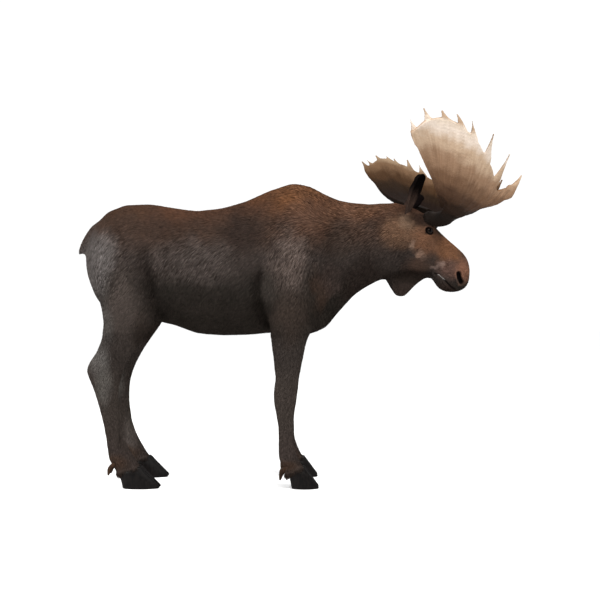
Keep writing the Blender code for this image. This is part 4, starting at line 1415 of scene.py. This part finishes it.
DEWCLAW_RADII = (0.015, 0.0160, 0.0165, 0.0165, 0.0160, 0.0145, 0.0120, 0.0090, 0.005)


def make_dewclaw(name, shape, track, side, apart, finish):
    root_x, root_z, tip_x, tip_z = shape
    aside = track * side + apart * 0.026
    root = Vector((root_x + 0.030, aside, root_z)) + SHIFT
    tip = Vector((tip_x, aside + apart * 0.010, tip_z)) + SHIFT
    middle = root.lerp(tip, 0.5) + Vector((-0.010, 0.0, 0.008))
    path = [on_curve([root, middle, tip], i / 8) for i in range(9)]
    return dress(new_object(name, loft(path_rings(path, DEWCLAW_RADII, 14))), finish, [name])


def make_feet(finish, horn):
    for side, side_name in SIDES:
        for end, hoof, dewclaw, track in (("front", FORE_HOOF, FORE_DEWCLAW, FORE_TRACK),
                                          ("hind", HIND_HOOF, HIND_DEWCLAW, HIND_TRACK)):
            for apart, letter in ((-1, "a"), (1, "b")):
                tail = f"{end}_{side_name}_{letter}"
                make_claw(f"hoof_{tail}", hoof, track, side, apart, finish)
                make_dewclaw(f"dewclaw_{tail}", dewclaw, track, side, apart, horn)


# ---- stage, light and camera ----

def area_light(name, place, aim, size, power, colour=(1.0, 1.0, 1.0)):
    lamp = bpy.data.lights.new(name, "AREA")
    lamp.shape = "DISK"
    lamp.size = size
    lamp.energy = power
    lamp.color = colour
    item = link(bpy.data.objects.new(name, lamp))
    item.location = place
    item.rotation_euler = (Vector(aim) - Vector(place)).to_track_quat("-Z", "Y").to_euler()


FLOOR_SIZE = 30.0
FLOOR_PALE = 0.96
WORLD_LIGHT = 1.06


def make_stage():
    bm = bmesh.new()
    bmesh.ops.create_grid(bm, x_segments=1, y_segments=1, size=FLOOR_SIZE)
    floor = new_object("floor", bm)
    paint = Finish("floor_paint", 1.0, 0.0)
    paint.shader.inputs["Base Color"].default_value = (FLOOR_PALE,) * 3 + (1.0,)
    floor.data.materials.append(paint.material)
    world = bpy.data.worlds.new("studio")
    world.use_nodes = True
    sky = world.node_tree.nodes["Background"].inputs
    sky["Color"].default_value = (1.0, 1.0, 1.0, 1.0)
    sky["Strength"].default_value = WORLD_LIGHT
    bpy.context.scene.world = world
    area_light("key", (1.6, -3.2, 5.2), (0.0, 0.0, 1.3), 2.5, 330.0, (1.0, 0.98, 0.95))
    area_light("rear", (-4.2, -1.6, 2.4), (-1.0, 0.0, 1.2), 1.8, 190.0)


CAMERA_BACK = 5.6
CAMERA_HEIGHT = 1.22


def make_camera():
    lens = bpy.data.cameras.new("camera")
    lens.lens = 50.0
    lens.sensor_width = 36.0
    item = link(bpy.data.objects.new("camera", lens))
    item.location = (SHIFT.x, SHIFT.y - CAMERA_BACK, CAMERA_HEIGHT)
    item.rotation_euler = (math.pi / 2, 0.0, 0.0)
    bpy.context.scene.camera = item


make_camera()
make_stage()
bpy.context.scene.view_settings.view_transform = "Standard"

skin = make_skin()
coat_look = coat_finish()
dress(skin, skin_finish(), FLESH)
make_coat(Hide(skin), coat_look)
horn_look = antler_finish()
ear_look = ear_finish()
for side, side_name in SIDES:
    make_antler(side, side_name, horn_look)
    make_ear(side, side_name, ear_look)
    make_eye(side, side_name)
make_feet(hoof_finish(), dewclaw_finish())
